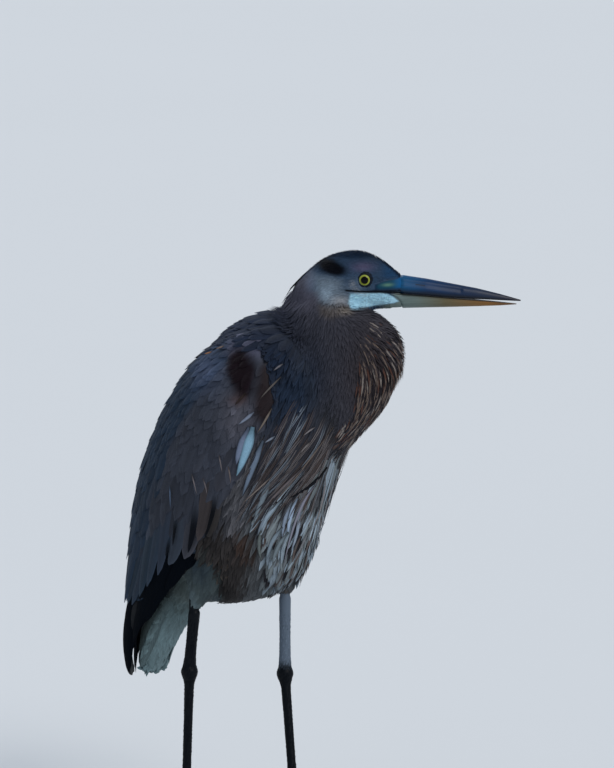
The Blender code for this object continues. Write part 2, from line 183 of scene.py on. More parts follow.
# Skin: one closed hide over head, neck, body, wings, thighs and legs, which the feathers root
# in. It lies under the coat by the depth of the plumage there, and bare on lores and legs.
BODY_NODES = ("head", "neck_upper", "neck_middle", "neck_lower", "trunk", "wing_left",
              "wing_right", "flight_feathers_left", "flight_feathers_right", "tail",
              "thigh_left", "thigh_right", "eye_left", "eye_right")
LEG_NODES = tuple(
    f"{part}_{side}"
    for side in ("left", "right")
    for part in ("shank", "tarsus", "toe_inner", "toe_middle", "toe_outer", "toe_hind")
)
COAT_DEPTH = {"head": 0.0016, "neck": 0.0034, "trunk": 0.006, "wing": 0.0038,
              "flight": 0.001, "tail": 0.005, "thigh": 0.0045, "leg": 0.0004}
BODY_VOXEL = 0.0027
LEG_VOXEL = 0.0014
SOLES = {"right": (-0.1336, -0.0586), "left": (-0.0176, 0.0064)}  # the middle of each foot
TOE_TOP = 0.0125
FOOT_REACH = 0.11
ROD_RADIUS = 0.0062
ROD_ABOVE = 0.022
ROD_BELOW = 0.01
RIGHT_ROD_BACK = 0.0075
MID_Y = (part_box("trunk")[0].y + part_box("trunk")[1].y) / 2
EYES = {side: sum(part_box("eye_" + side), Vector()) / 2 for side in ("left", "right")}
HEAD_MIDDLE = (EYES["left"] + EYES["right"]) / 2
HEAD_ASIDE = (EYES["left"] - EYES["right"]).normalized()
HEAD_AHEAD = HEAD_ASIDE.cross(Vector((0, 0, 1)))


def kind_of(node):
    """The coat's name on a node: one for all lengths of the neck, one for all of a leg."""
    kind = node.split("_")[0]
    return {"eye": "head", "shank": "leg", "tarsus": "leg", "toe": "leg"}.get(kind, kind)


def array_of(items, key, width, kind=np.float32):
    """One number or row of numbers for each item of a mesh."""
    found = np.empty(len(items) * width, kind)
    items.foreach_get(key, found)
    return found.reshape(-1, width)


def smoothed(shape, rounds):
    """Evens the shape out by moving each point towards its neighbours."""
    for _ in range(rounds):
        bmesh.ops.smooth_vert(
            shape, verts=shape.verts, factor=0.5, use_axis_x=True, use_axis_y=True, use_axis_z=True
        )


def hide_of(name, node_names, voxel, rounds, rods=()):
    """The nodes grown into one even closed mesh, with their facets smoothed away."""
    shell = bmesh.new()
    for node in node_names:
        shell.from_mesh(nodes[node].data)
    bmesh.ops.remove_doubles(shell, verts=shell.verts, dist=1e-5)
    for top, bottom, radius in rods:
        turn = (top - bottom).to_track_quat("Z", "Y").to_matrix().to_4x4()
        bmesh.ops.create_cone(
            shell, cap_ends=True, segments=16, radius1=radius, radius2=radius,
            depth=(top - bottom).length, matrix=Matrix.Translation((top + bottom) / 2) @ turn,
        )
    mesh = bpy.data.meshes.new(name)
    shell.to_mesh(mesh)
    shell.free()
    obj = link(bpy.data.objects.new(name, mesh))
    remesh = obj.modifiers.new("Remesh", "REMESH")
    remesh.mode = "VOXEL"
    remesh.voxel_size = voxel
    graph = bpy.context.evaluated_depsgraph_get()
    grown = bmesh.new()
    grown.from_object(obj, graph)
    smoothed(grown, rounds)
    bmesh.ops.triangulate(grown, faces=grown.faces)
    bpy.data.objects.remove(obj)
    return grown


def leg_rods():
    """Short lengths of shank that run up into each thigh."""
    rods = []
    for side in ("left", "right"):
        low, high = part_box("shank_" + side)
        top = Vector(((low.x + high.x) / 2, (low.y + high.y) / 2, high.z))
        if side == "right":
            top.x = high.x - RIGHT_ROD_BACK
        rods.append((top + Vector((0, 0, ROD_ABOVE)), top - Vector((0, 0, ROD_BELOW)), ROD_RADIUS))
    return rods


def labelled(node_names):
    """A search tree over these nodes, and the kind of coat on each of its faces."""
    points = []
    faces = []
    kinds = []
    for node in node_names:
        mesh = nodes[node].data
        start = len(points)
        points += [v.co.copy() for v in mesh.vertices]
        faces += [[start + k for k in p.vertices] for p in mesh.polygons]
        kinds += [kind_of(node)] * len(mesh.polygons)
    return BVHTree.FromPolygons(points, faces), kinds


def inset(hide, tree, kinds):
    """Draws the hide in by the coat's depth, and gives each of its points a kind."""
    names = [kinds[tree.find_nearest(v.co)[2]] for v in hide.verts]
    depth = np.array([COAT_DEPTH[name] for name in names])
    links = [[e.other_vert(v).index for e in v.link_edges] for v in hide.verts]
    for _ in range(6):
        depth = np.array([0.4 * d + 0.6 * depth[near].mean() for d, near in zip(depth, links)])
    hide.normal_update()
    for v, d in zip(hide.verts, depth):
        v.co -= v.normal * d
    smoothed(hide, 3)
    return names


def on_head(points):
    """Points as (ahead, out to the side, up) from the middle of the head between the eyes."""
    turned = np.array([HEAD_AHEAD, HEAD_ASIDE, Vector((0, 0, 1))])
    return (points - np.array(HEAD_MIDDLE)) @ turned.T


def ease(value, low, high):
    """Runs smoothly from 0 at low to 1 at high, or back again where high is the lower."""
    share = np.clip((value - low) / (high - low), 0, 1)
    return share * share * (3 - 2 * share)


def off_line(flat, line):
    """How far these flat points are from a line of several lengths."""
    gap = np.full(len(flat), np.inf)
    for start, end in zip(np.array(line), np.array(line)[1:]):
        run = end - start
        share = np.clip(((flat - start) @ run) / (run @ run), 0, 1)
        gap = np.minimum(gap, np.linalg.norm(flat - start - share[:, None] * run, axis=1))
    return gap


def near_line(flat, line, reach, power=2):
    """1 on a line of several lengths, fading to 0 beyond its reach."""
    return np.exp(-((off_line(flat, line) / reach) ** power))


def refine_face(hide, tree, kinds, names):
    """Splits the hide finer in front of the ears, where it carries folds."""
    placed = on_head(np.array([v.co for v in hide.verts]))
    fine = (placed[:, 0] > -0.034) & (placed[:, 2] > -0.045) & (np.array(names) == "head")
    fine |= (placed[:, 0] > 0.0) & (placed[:, 2] > -0.036)
    edges = [e for e in hide.edges if fine[e.verts[0].index] and fine[e.verts[1].index]]
    bmesh.ops.subdivide_edges(hide, edges=edges, cuts=2, use_grid_fill=True)
    bmesh.ops.triangulate(hide, faces=hide.faces)
    hide.verts.ensure_lookup_table()
    hide.verts.index_update()
    return names + [kinds[tree.find_nearest(v.co)[2]] for v in hide.verts[len(names):]]


def crease_face(hide):
    """The line of the gape, the brow over the lore and the wrinkles under each eye."""
    hide.normal_update()
    placed = on_head(np.array([v.co for v in hide.verts]))
    flat = placed[:, [0, 2]]
    depth = 0.0011 * near_line(flat, GAPE, 0.0011) + 0.0005 * near_line(flat, BROW, 0.001)
    around = np.hypot(flat[:, 0], flat[:, 1])
    below = ease(flat[:, 1], 0.002, -0.004) * ease(flat[:, 0], 0.006, 0.0)
    for ring in WRINKLES:
        depth += 0.0003 * np.exp(-(((around - ring) / 0.0008) ** 2)) * below
    for v, d, out in zip(hide.verts, depth, np.abs(placed[:, 1])):
        if out > 0.004 and d > 2e-5:
            v.co -= v.normal * float(d)


GAPE = ((-0.0225, -0.0112), (-0.006, -0.0128), (0.0178, -0.0136), (0.047, -0.016))
BROW = ((0.0095, -0.003), (0.02, 0.0004), (0.031, 0.0018), (0.047, 0.004))
WRINKLES = (0.0118, 0.0142, 0.0166)
body_hide = hide_of("hide", BODY_NODES, BODY_VOXEL, 8)
body_hide.verts.ensure_lookup_table()
body_hide.verts.index_update()
body_tree, body_kinds = labelled(BODY_NODES)
skin_kinds = inset(body_hide, body_tree, body_kinds)
skin_kinds = refine_face(body_hide, body_tree, body_kinds, skin_kinds)
crease_face(body_hide)
leg_hide = hide_of("leg_hide", LEG_NODES, LEG_VOXEL, 4, leg_rods())
skin_mesh = bpy.data.meshes.new("skin")
leg_mesh = bpy.data.meshes.new("leg_hide")
leg_hide.to_mesh(leg_mesh)
body_hide.from_mesh(leg_mesh)
body_hide.to_mesh(skin_mesh)
skin_kinds += ["leg"] * len(leg_mesh.vertices)
body_hide.free()
leg_hide.free()
skin_mesh.shade_smooth()
skin = link(bpy.data.objects.new("skin", skin_mesh))
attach(skin, "root")
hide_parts(*[n for n in BODY_NODES if not n.startswith("eye")], *LEG_NODES)
skin_points = array_of(skin_mesh.vertices, "co", 3)
skin_corners = array_of(skin_mesh.polygons, "vertices", 3, np.int32)
skin_ups = array_of(skin_mesh.vertex_normals, "vector", 3)
skin_kinds = np.array(skin_kinds)

# Lie of the coat: on a bird every feather points away from the bill, down the neck, back over
# body and wings and down the thighs. Each line below is one stroke of a hand that smooths it,
# as points (ahead of the box's middle, out from the bird's own mid plane, up).
STROKES = (
    ((0.01, 0.0, 0.665), (-0.016, 0.0, 0.635), (-0.06, 0.0, 0.61)),
    ((0.045, 0.03, 0.64), (0.036, 0.036, 0.589), (0.03, 0.051, 0.56), (0.026, 0.067, 0.532)),
    ((0.084, 0.028, 0.627), (0.122, 0.02, 0.604), (0.133, 0.006, 0.584), (0.128, 0.006, 0.545)),
    ((0.128, 0.006, 0.545), (0.1, 0.01, 0.5), (0.073, 0.019, 0.482)),
    ((0.08, 0.036, 0.6), (0.089, 0.038, 0.575), (0.085, 0.036, 0.54), (0.075, 0.034, 0.502)),
    ((0.075, 0.034, 0.502), (0.06, 0.032, 0.482), (0.03, 0.051, 0.453), (-0.022, 0.068, 0.394)),
    ((0.073, 0.019, 0.482), (0.044, 0.028, 0.445), (0.007, 0.047, 0.384)),
    ((0.08, 0.0, 0.475), (0.054, 0.008, 0.45), (0.036, 0.004, 0.404), (0.01, 0.012, 0.344)),
    ((0.007, 0.047, 0.384), (-0.012, 0.045, 0.334), (-0.04, 0.036, 0.291)),
    ((-0.003, 0.054, 0.384), (-0.024, 0.05, 0.334), (-0.048, 0.037, 0.291)),
    ((0.026, 0.067, 0.532), (0.008, 0.08, 0.495), (-0.008, 0.076, 0.465), (-0.031, 0.076, 0.416)),
    ((0.055, 0.052, 0.52), (0.03, 0.055, 0.475), (0.0, 0.065, 0.43), (-0.03, 0.07, 0.39)),
    ((-0.031, 0.076, 0.416), (-0.056, 0.07, 0.345), (-0.08, 0.05, 0.281)),
    ((-0.075, 0.074, 0.35), (-0.1, 0.063, 0.293), (-0.113, 0.054, 0.266)),
    ((-0.01, 0.0, 0.634), (-0.06, 0.0, 0.606), (-0.12, 0.0, 0.54)),
    ((-0.12, 0.0, 0.54), (-0.176, 0.0, 0.45), (-0.205, 0.0, 0.37), (-0.22, 0.0, 0.2)),
    ((-0.02, 0.05, 0.612), (-0.08, 0.06, 0.575), (-0.13, 0.065, 0.52), (-0.167, 0.07, 0.422)),
    ((-0.167, 0.07, 0.422), (-0.195, 0.06, 0.33), (-0.216, 0.043, 0.21)),
    ((0.0, 0.076, 0.556), (-0.03, 0.09, 0.5), (-0.062, 0.088, 0.42)),
    ((-0.062, 0.088, 0.42), (-0.092, 0.078, 0.357), (-0.15, 0.065, 0.27), (-0.205, 0.04, 0.19)),
    ((-0.11, 0.09, 0.48), (-0.14, 0.085, 0.4), (-0.165, 0.072, 0.32), (-0.19, 0.06, 0.27)),
    ((-0.15, 0.01, 0.29), (-0.18, 0.015, 0.23), (-0.2, 0.012, 0.172)),
    ((-0.13, 0.036, 0.29), (-0.175, 0.035, 0.24), (-0.2, 0.033, 0.184)),
    ((-0.03, 0.04, 0.37), (-0.04, 0.045, 0.31), (-0.047, 0.045, 0.274)),
)
STROKE_REACH = 0.016
NAPE_START = 0.02


def unit(rows):
    """The same directions, each of length 1."""
    return rows / np.maximum(np.linalg.norm(rows, axis=-1, keepdims=True), 1e-12)


def lie_over(points, ups, heads):
    """The way the coat lies at these points of the skin, along its surface."""
    near = points.copy()
    near[:, 1] -= MID_Y
    side = np.where(near[:, 1] < 0, -1.0, 1.0)
    near[:, 1] = np.abs(near[:, 1])
    total = np.zeros_like(near)
    for stroke in STROKES:
        for start, end in zip(np.array(stroke), np.array(stroke)[1:]):
            run = end - start
            share = np.clip(((near - start) @ run) / (run @ run), 0, 1)
            gap = ((near - start - share[:, None] * run) ** 2).sum(1)
            total += unit(run) / ((gap + STROKE_REACH**2) ** 2)[:, None]
    total[:, 1] *= side
    total = unit(total)
    placed = on_head(points)
    down = ease(placed[:, 0], -NAPE_START, -4.5 * NAPE_START)[:, None]
    back = -np.array(HEAD_AHEAD) * (1.1 - down) - np.array((0, 0, 1)) * down * 1.2
    total = np.where(heads[:, None], unit(back), total)
    return unit(total - ups * (total * ups).sum(1)[:, None])


skin_lies = lie_over(skin_points, skin_ups, skin_kinds == "head")
for _ in range(10):
    blurred = np.zeros_like(skin_lies)
    for k in range(3):
        np.add.at(blurred, skin_corners[:, k], skin_lies[skin_corners].sum(1))
    skin_lies = unit(blurred)
toes = (skin_kinds == "leg") & (skin_points[:, 2] < TOE_TOP)
for side in ("left", "right"):
    out = skin_points - np.array((*SOLES[side], 0.0))
    out[:, 2] = 0
    own = toes & (np.linalg.norm(out, axis=1) < FOOT_REACH)
    own &= (skin_points[:, 1] > MID_Y) == (side == "left")
    skin_lies[own] = unit(out[own])


def ground_of(points, corners, ups, lies):
    """What a feather needs to know of the surface it lies on, face by face."""
    spots = points[corners]
    across = np.cross(spots[:, 1] - spots[:, 0], spots[:, 2] - spots[:, 0])
    return SimpleNamespace(
        tree=BVHTree.FromPolygons([Vector(p) for p in points], corners.tolist()),
        spots=spots,
        areas=np.linalg.norm(across, axis=1) / 2,
        middles=spots.mean(1),
        ups=[Vector(v) for v in unit(ups[corners].sum(1))],
        lies=[Vector(v) for v in unit(lies[corners].sum(1))],
    )


hide_ground = ground_of(skin_points, skin_corners, skin_ups, skin_lies)
face_kinds = skin_kinds[skin_corners[:, 0]]
face_middles = hide_ground.middles
face_ups = np.array(hide_ground.ups)


def ground_within(faces):
    """Only these faces of the hide, so that feathers on them end where they end."""
    return ground_of(skin_points, skin_corners[faces], skin_ups, skin_lies)


# Plumage, what every feather shares: it roots in the skin, follows the skin along the lie of
# the coat, and its tip rides over the roots of the next. A vane is a thin strip with a shaft.
PATCH = 0.003
UPRIGHT = (0, 0, 1)


def scatter(ground, allowed, gap, rng):
    """Spots on the allowed faces of the ground, about gap apart."""
    faces = np.flatnonzero(allowed)
    areas = ground.areas[faces]
    count = int(areas.sum() / gap**2 * 6)
    chosen = rng.choice(faces, count, p=areas / areas.sum())
    shares = rng.dirichlet((1, 1, 1), count)
    spots = (ground.spots[chosen] * shares[:, :, None]).sum(1)
    cells = np.floor(spots / gap).astype(int)
    first = np.unique(cells, axis=0, return_index=True)[1]
    return spots[rng.permutation(first)]


def trace(ground, spot, length, steps, low, high, swerve, free):
    """The shaft's line from one spot over the ground, and its ups. It ends at the body's end."""
    point = Vector(spot)
    step = length / steps
    heading = None
    line = []
    ups = []
    for k in range(steps + 1):
        near, _, face, away = ground.tree.find_nearest(point)
        if k and away > free:
            break
        up = ground.ups[face]
        lie = ground.lies[face]
        heading = lie if heading is None else (heading + lie * 0.5).normalized()
        turned = heading + up.cross(heading) * swerve
        turned -= up * turned.dot(up)
        turned.normalize()
        line.append(near + up * (low + (high - low) * k / steps))
        ups.append(up)
        point = near + turned * step
    while len(line) < 2:
        line.append(line[-1] + turned * step)
        ups.append(ups[-1])
    if len(line) <= steps:
        places = np.linspace(0, len(line) - 1, steps + 1)
        line = [line[int(p)].lerp(line[min(int(p) + 1, len(line) - 1)], p % 1) for p in places]
        ups = [ups[int(p)] for p in places]
    return line, ups


def bake_places(spots, axis):
    """Each root's place on an unwrap of the skin, rolled out round the given axis."""
    axis = np.array(axis, float) / np.linalg.norm(axis)
    first = np.cross(axis, (0.0, 1.0, 0.0))
    first /= np.linalg.norm(first)
    second = np.cross(axis, first)
    local = spots - spots.mean(0)
    turn = np.arctan2(local @ second, local @ first)
    along = local @ axis
    places = np.stack((turn, along), 1)
    low = places.min(0)
    size = np.maximum(places.max(0) - low, 1e-6)
    return 0.004 + (places - low) / size * 0.988


def vane_piece(name, spots, length, width, paint, material, rng, steps=6, low=-0.0008, high=0.003,
               tip=4.0, root=0.5, cup=0.25, columns=3, wander=0.1, roll=0.12, free=0.01,
               axis=UPRIGHT, ground=hide_ground):
    """One mesh of many feathers, one from each spot. low and high are how far a feather's root
    and tip stand off the skin. wander and roll are how unevenly the feathers turn, and free is
    how far a tip may reach past the end of its ground. Lengths may be one number per spot."""
    count = len(spots)
    length = np.broadcast_to(length, count) * rng.uniform(0.86, 1.12, count)
    width = np.broadcast_to(width, count) * rng.uniform(0.88, 1.1, count)
    high = np.broadcast_to(high, count) * rng.uniform(0.75, 1.2, count)
    swerve = rng.normal(0, wander, count)
    lines = np.empty((count, steps + 1, 3))
    ups = np.empty((count, steps + 1, 3))
    for k in range(count):
        line, up = trace(ground, spots[k], length[k], steps, low, high[k], swerve[k], free)
        lines[k] = line
        ups[k] = up
    return vanes_on(name, spots, lines, ups, width, paint, material, rng, tip, root, cup, columns,
                    roll, axis)


def laid_piece(name, rows, paint, material, rng, ground, steps=14, low=0.0, high=0.003, tip=4.0,
               cup=0.2, columns=5):
    """Feathers laid one by one, alike on both sides of the bird. Each row has a width, a colour
    and points from root to tip as (ahead, out from the mid plane, up), joined by a curve."""
    lines = []
    ups = []
    share = np.linspace(0, 1, steps + 1)
    for sign in (-1, 1):
        for row in rows:
            places = np.array(row[2:])
            curve = np.polyfit(np.linspace(0, 1, len(places)), places, min(2, len(places) - 1))
            line = np.stack([np.polyval(curve[:, k], share) for k in range(3)], 1)
            line[:, 1] = MID_Y + line[:, 1] * sign
            found = [ground.ups[ground.tree.find_nearest(Vector(place))[2]] for place in line]
            up = np.array(sum(found, Vector()).normalized())
            lines.append(line + up * (low + (high - low) * share)[:, None])
            ups.append(np.tile(up, (steps + 1, 1)))
    lines = np.array(lines)
    width = np.array([row[0] for row in rows] * 2)
    return vanes_on(name, lines[:, 0], lines, np.array(ups), width, paint, material, rng, tip, 0.5,
                    cup, columns, 0.03, UPRIGHT)


def colour_points(mesh, colours):
    """Stores the coat's colour at each point of the mesh."""
    tints = np.ones((len(mesh.vertices), 4), np.float32)
    tints[:, :3] = np.clip(colours, 0, 1).reshape(-1, 3)
    mesh.attributes.new("plumage", "FLOAT_COLOR", "POINT").data.foreach_set("color", tints.ravel())


def vanes_on(name, spots, lines, ups, width, paint, material, rng, tip, root, cup, columns, roll,
             axis):
    """Spreads a vane either side of each shaft's line, and joins them all in one mesh. tip is
    how blunt its end is, root how wide its start, and cup how far its edges turn down."""
    count = len(lines)
    steps = lines.shape[1] - 1
    along = unit(np.gradient(lines, axis=1))
    side = unit(np.cross(along, ups))
    turned = np.tan(rng.normal(0, roll, count))[:, None, None]
    side = unit(side + ups * turned)
    share = np.linspace(0, 1, steps + 1)
    spread = (root + (1 - root) * ease(share, 0, 0.4)) * (1 - share ** tip) ** 0.6
    spread[-1] = 0.06
    across = np.linspace(-1, 1, columns)
    reach = (width[:, None] / 2 * spread)[:, :, None] * across
    drop = cup * np.abs(reach) * np.abs(across)
    grid = lines[:, :, None] + side[:, :, None] * reach[..., None]
    grid = grid - ups[:, :, None] * drop[..., None]
    colours = paint(spots, share[None, :, None, None], across[None, None, :, None], rng, grid)
    mesh = strip_mesh(name, grid)
    colour_points(mesh, np.broadcast_to(colours, (count, steps + 1, columns, 3)))
    set_maps(mesh, spots, share, across, axis)
    mesh.materials.append(material)
    obj = link(bpy.data.objects.new(name, mesh))
    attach(obj, "root")
    return obj


def set_maps(mesh, spots, share, across, axis):
    """Two UV maps: vane runs over each feather, OFBake puts it on a patch at its root's place."""
    shape = (len(spots), len(share), len(across))
    u = np.broadcast_to(across * 0.5 + 0.5, shape)
    v = np.broadcast_to(share[None, :, None], shape)
    place = np.stack((u, v), -1)
    bake = bake_places(spots, axis)[:, None, None] + (place - (0.5, 0.0)) * PATCH
    corner = array_of(mesh.loops, "vertex_index", 1, np.int32).ravel()
    for name, flat in (("vane", place), ("OFBake", bake)):
        layer = mesh.uv_layers.new(name=name)
        layer.uv.foreach_set("vector", flat.reshape(-1, 2)[corner].astype(np.float32).ravel())


def strip_mesh(name, grid):
    """Joins each feather's grid of points (feather, along, across) into quads."""
    count, rows, columns = grid.shape[:3]
    mesh = bpy.data.meshes.new(name)
    index = np.arange(count * rows * columns).reshape(count, rows, columns)
    quads = np.stack(
        (index[:, :-1, :-1], index[:, :-1, 1:], index[:, 1:, 1:], index[:, 1:, :-1]), -1
    ).reshape(-1, 4)
    mesh.vertices.add(index.size)
    mesh.vertices.foreach_set("co", grid.astype(np.float32).ravel())
    mesh.loops.add(quads.size)
    mesh.loops.foreach_set("vertex_index", quads.astype(np.int32).ravel())
    mesh.polygons.add(len(quads))
    mesh.polygons.foreach_set("loop_start", np.arange(0, quads.size, 4, dtype=np.int32))
    mesh.update(calc_edges=True)
    mesh.shade_smooth()
    return mesh


def feather_material(name, barbs, rough, sheen=0.04, fleck=0.18, gloss=0.08):
    """Matt vanes: the coat's own tint, fine slanting barbs, and a faint ridge for the shaft."""
    material, tree, shader = new_material(name)
    vane = tree.nodes.new("ShaderNodeUVMap")
    vane.uv_map = "vane"
    split = add_node(tree, "SeparateXYZ", _0=vane)
    middle = add_node(tree, "Math", "SUBTRACT", _0=split, _1=0.5)
    off = add_node(tree, "Math", "ABSOLUTE", _0=middle)
    slant = add_node(tree, "Math", "MULTIPLY_ADD", _0=off, _1=-0.45, _2=split.outputs[1])
    wave = add_node(tree, "Math", "MULTIPLY", _0=slant, _1=barbs * 2 * math.pi)
    ridge = add_node(tree, "Math", "SINE", _0=wave)
    mottle = add_node(tree, "TexNoise", Scale=420, Detail=3, Vector=own_place(tree))
    shade = add_node(tree, "MapRange", To_Min=1 - fleck, To_Max=1 + fleck, Value=mottle)
    barb = add_node(tree, "Math", "MULTIPLY_ADD", _0=ridge, _1=0.07, _2=shade)
    scaled = add_node(tree, "VectorMath", "SCALE", _0=named_value(tree, "plumage"), Scale=barb)
    bump = add_node(tree, "Bump", Strength=0.35, Distance=0.0004, Height=ridge)
    feed(shader, Base_Color=scaled, Normal=bump, Roughness=rough, Sheen_Weight=sheen,
         Sheen_Roughness=0.5, Specular_IOR_Level=gloss)
    return material


# Markings: one set of colours for skin and feathers alike. The crown is slate to black, the
# cheek and chin white, the neck grey-mauve, the bend of the wing maroon, the belly white with
# dark streaks, the flank brown and the underside of the tail pale. Painted light and shade lie
# among them: highlights on the lore and under the tail, shade on the mantle, on the wing's
# blade and front edge, and on the underside of the tail.
GAIN = 1.5
CHIN_EDGE = 0.0014
CHIN = ((-0.0175, -0.0151), (-0.0047, -0.0145), (0.0187, -0.0151), (0.0257, -0.0161),
        (0.0326, -0.0194), (0.0373, -0.023), (0.0408, -0.026), (0.035, -0.0281),
        (0.0257, -0.0294), (0.014, -0.0304), (0.0023, -0.0312), (-0.0093, -0.0318),
        (-0.0175, -0.0315), (-0.019, -0.025))
CHEEK = ((-0.06, 0.006), (-0.0417, 0.006), (-0.028, 0.001), (-0.026, -0.0091),
         (-0.017, -0.018), (-0.017, -0.0273), (-0.04, -0.029), (-0.051, -0.0221),
         (-0.059, -0.0085))
THROAT = ((-0.054, -0.029), (-0.04, -0.027), (-0.0239, -0.027), (-0.017, -0.031),
          (-0.016, -0.035), (-0.03, -0.0385), (-0.043, -0.042), (-0.052, -0.038))
LORE = ((0.0117, -0.0045), (0.0187, -0.002), (0.028, 0.0004), (0.0373, 0.0016),
        (0.048, 0.005), (0.048, -0.0125), (0.03, -0.0125), (0.0117, -0.0112))
LORE_LIGHT = ((0.011, -0.007), (0.0187, -0.003), (0.028, -0.0004), (0.0373, 0.001),
              (0.048, 0.004), (0.048, -0.0094), (0.0303, -0.01), (0.0163, -0.01))
WRIST = ((-0.0554, 0.5846), (-0.0427, 0.5912), (-0.0265, 0.5844), (-0.0165, 0.5666),
         (-0.0153, 0.5459), (-0.0232, 0.5338), (-0.0337, 0.5355), (-0.0434, 0.5489),
         (-0.0541, 0.5666))
BELLY = ((-0.0175, 0.4093), (-0.0105, 0.4255), (0.0088, 0.4369), (0.0302, 0.4564),
         (0.056, 0.47), (0.12, 0.47), (0.08, 0.3), (0.01, 0.26),
         (-0.0476, 0.27), (-0.0476, 0.2938), (-0.0355, 0.3338), (-0.0237, 0.3718))
SIDE_LINE = ((-0.004, 0.5), (-0.02, 0.455), (-0.033, 0.405))
TAIL_SHADE = ((-0.1277, 0.3282), (-0.145, 0.3081), (-0.1685, 0.2837), (-0.1934, 0.2562),
              (-0.2144, 0.2286))
SHOULDER_BLADE = ((-0.04, 0.61), (-0.0536, 0.5836), (-0.0766, 0.5508), (-0.1072, 0.5116),
                  (-0.1408, 0.4615), (-0.1659, 0.3981), (-0.186, 0.3465), (-0.26, 0.33),
                  (-0.26, 0.68), (-0.04, 0.68))


def tone(red, green, blue):
    """A colour named as on a paint card, from 0 to 255, as light."""
    return np.array([(c / 255) ** 2.2 * GAIN for c in (red, green, blue)])


SLATE = tone(42, 58, 77)
DEEP_SLATE = tone(9, 28, 46)
FOREHEAD = tone(31, 58, 86)
BROW_MAUVE = tone(71, 70, 92)
BLACK = tone(6, 12, 18)
NAVY_BLACK = tone(0, 8, 16)
CHEEK_GREY = tone(86, 98, 110)
CHEEK_WHITE = tone(118, 134, 148)
CHEEK_WARM = tone(122, 126, 132)
TAN_LIGHT = tone(110, 104, 98)
EAR_GREY = tone(78, 90, 104)
NAPE_LIGHT = tone(86, 94, 110)
CHIN_WHITE = tone(142, 180, 198)
HORN_GREY = tone(92, 104, 102)
TAN = tone(76, 71, 68)
NAPE_MAUVE = tone(64, 64, 74)
NECK_GREY = tone(57, 57, 64)
NECK_BROWN = tone(47, 43, 45)
BREAST_BLUE = tone(27, 36, 49)
BREAST_GREY = tone(43, 44, 48)
SIDE_GREY = tone(82, 82, 86)
BELLY_GREY = tone(66, 69, 72)
FLANK_BROWN = tone(40, 38, 38)
FLANK_RUFOUS = tone(50, 40, 36)
FLANK_DARK = tone(20, 19, 20)
MAROON = tone(22, 15, 20)
# Painted shade for the wing's front edge, where it meets the breast.
FRONT_EDGE_SHADE = tone(35, 30, 32)
WRIST_FOOT = tone(62, 51, 52)
BACK_BLUE = tone(58, 67, 86)
SHOULDER = tone(66, 68, 83)
WING_PALE = tone(74, 74, 82)
WING_BROWN = tone(49, 52, 60)
# The wing's own slate, darkened by painted shade.
SHADED_WING_SLATE = tone(31, 42, 55)
WING_LOW = tone(35, 46, 58)
# The mantle's slate, darkened as painted shade on the top of the back.
SHADED_MANTLE = tone(27, 34, 48)
PALE_GREY = tone(63, 71, 70)
# Painted shade on the underside of the tail.
UNDERTAIL_SHADE = tone(40, 48, 54)
PALE_END = tone(92, 110, 114)
# Painted highlight on the underside of the tail.
UNDERTAIL_HIGHLIGHT = tone(84, 98, 104)
LORE_TEAL = tone(14, 53, 70)
# Painted highlight on the lore.
LORE_HIGHLIGHT = tone(78, 110, 94)
LORE_BLUE = tone(12, 68, 108)
LORE_EDGE = tone(26, 42, 60)
LEG_BLACK = tone(11, 15, 20)
SHANK_GREY = tone(74, 84, 96)
KIND_TONES = {"head": SLATE, "neck": NECK_GREY, "trunk": BREAST_GREY, "wing": WING_BROWN,
              "flight": BLACK, "tail": PALE_GREY, "thigh": FLANK_BROWN, "leg": LEG_BLACK}
BODY_PATCHES = (
    (NECK_BROWN, (0.115, 0.015, 0.56), (0.03, 0.04, 0.06), 1.2),
    (BREAST_BLUE, (0.028, 0.06, 0.545), (0.028, 0.05, 0.048), 1.2),
    (DEEP_SLATE, (0.006, 0.055, 0.592), (0.012, 0.03, 0.018), 0.7),
    # Painted shade: the mantle's slate darkened on the top of the back.
    (SHADED_MANTLE, (-0.045, 0.045, 0.615), (0.045, 0.08, 0.045), 1.4),
    (BREAST_GREY, (0.03, 0.05, 0.48), (0.06, 0.06, 0.04), 1.0),
)


def within(flat, outline, soft):
    """1 well inside an outline, 0 well outside it, and between them over its soft edge."""
    gap = off_line(flat, outline + outline[:1])
    inside = np.zeros(len(flat), bool)
    for start, end in zip(outline, outline[1:] + outline[:1]):
        straddles = (start[1] > flat[:, 1]) != (end[1] > flat[:, 1])
        slope = (end[0] - start[0]) / ((end[1] - start[1]) or 1e-9)
        inside ^= straddles & (flat[:, 0] < start[0] + (flat[:, 1] - start[1]) * slope)
    return ease(np.where(inside, gap, -gap), -soft, soft)


def layered(base, *layers):
    """Lays each layer's colour over the last by the layer's share at each point."""
    for colour, share in layers:
        base = base * (1 - share[:, None]) + colour * share[:, None]
    return base


def patched(base, points, patches):
    """Lays soft patches of colour over the base, each strongest at its own middle."""
    for colour, middle, reach, strength in patches:
        gap = ((points - np.array(middle)) / np.array(reach)) ** 2
        base = layered(base, (colour, np.clip(np.exp(-gap.sum(1) * 0.8) * strength, 0, 1)))
    return base


def folded(points):
    """Points with both sides of the bird laid on one."""
    near = np.array(points, float)
    near[:, 1] = np.abs(near[:, 1] - MID_Y)
    return near


def soft_spot(flat, middle, reach):
    """1 at the middle of a round spot, fading to 0 beyond its reach."""
    gap = ((flat - middle) / reach) ** 2
    return np.exp(-gap[:, 0] - gap[:, 1])


def face_marks(base, flat):
    """Cheek, throat and chin, which run from the head down on to the neck."""
    return layered(
        base,
        (CHEEK_GREY, within(flat, CHEEK, 0.0075)),
        (CHEEK_WHITE, soft_spot(flat, (-0.045, -0.0135), (0.0085, 0.009)) * 0.8),
        (CHEEK_WARM, soft_spot(flat, (-0.029, -0.023), (0.011, 0.0055)) * 0.9),
        (TAN, within(flat, THROAT, 0.005) * 0.7),
        (TAN_LIGHT, soft_spot(flat, (-0.024, -0.0325), (0.008, 0.0034)) * 0.9),
        (CHIN_WHITE, within(flat, CHIN, CHIN_EDGE)),
    )


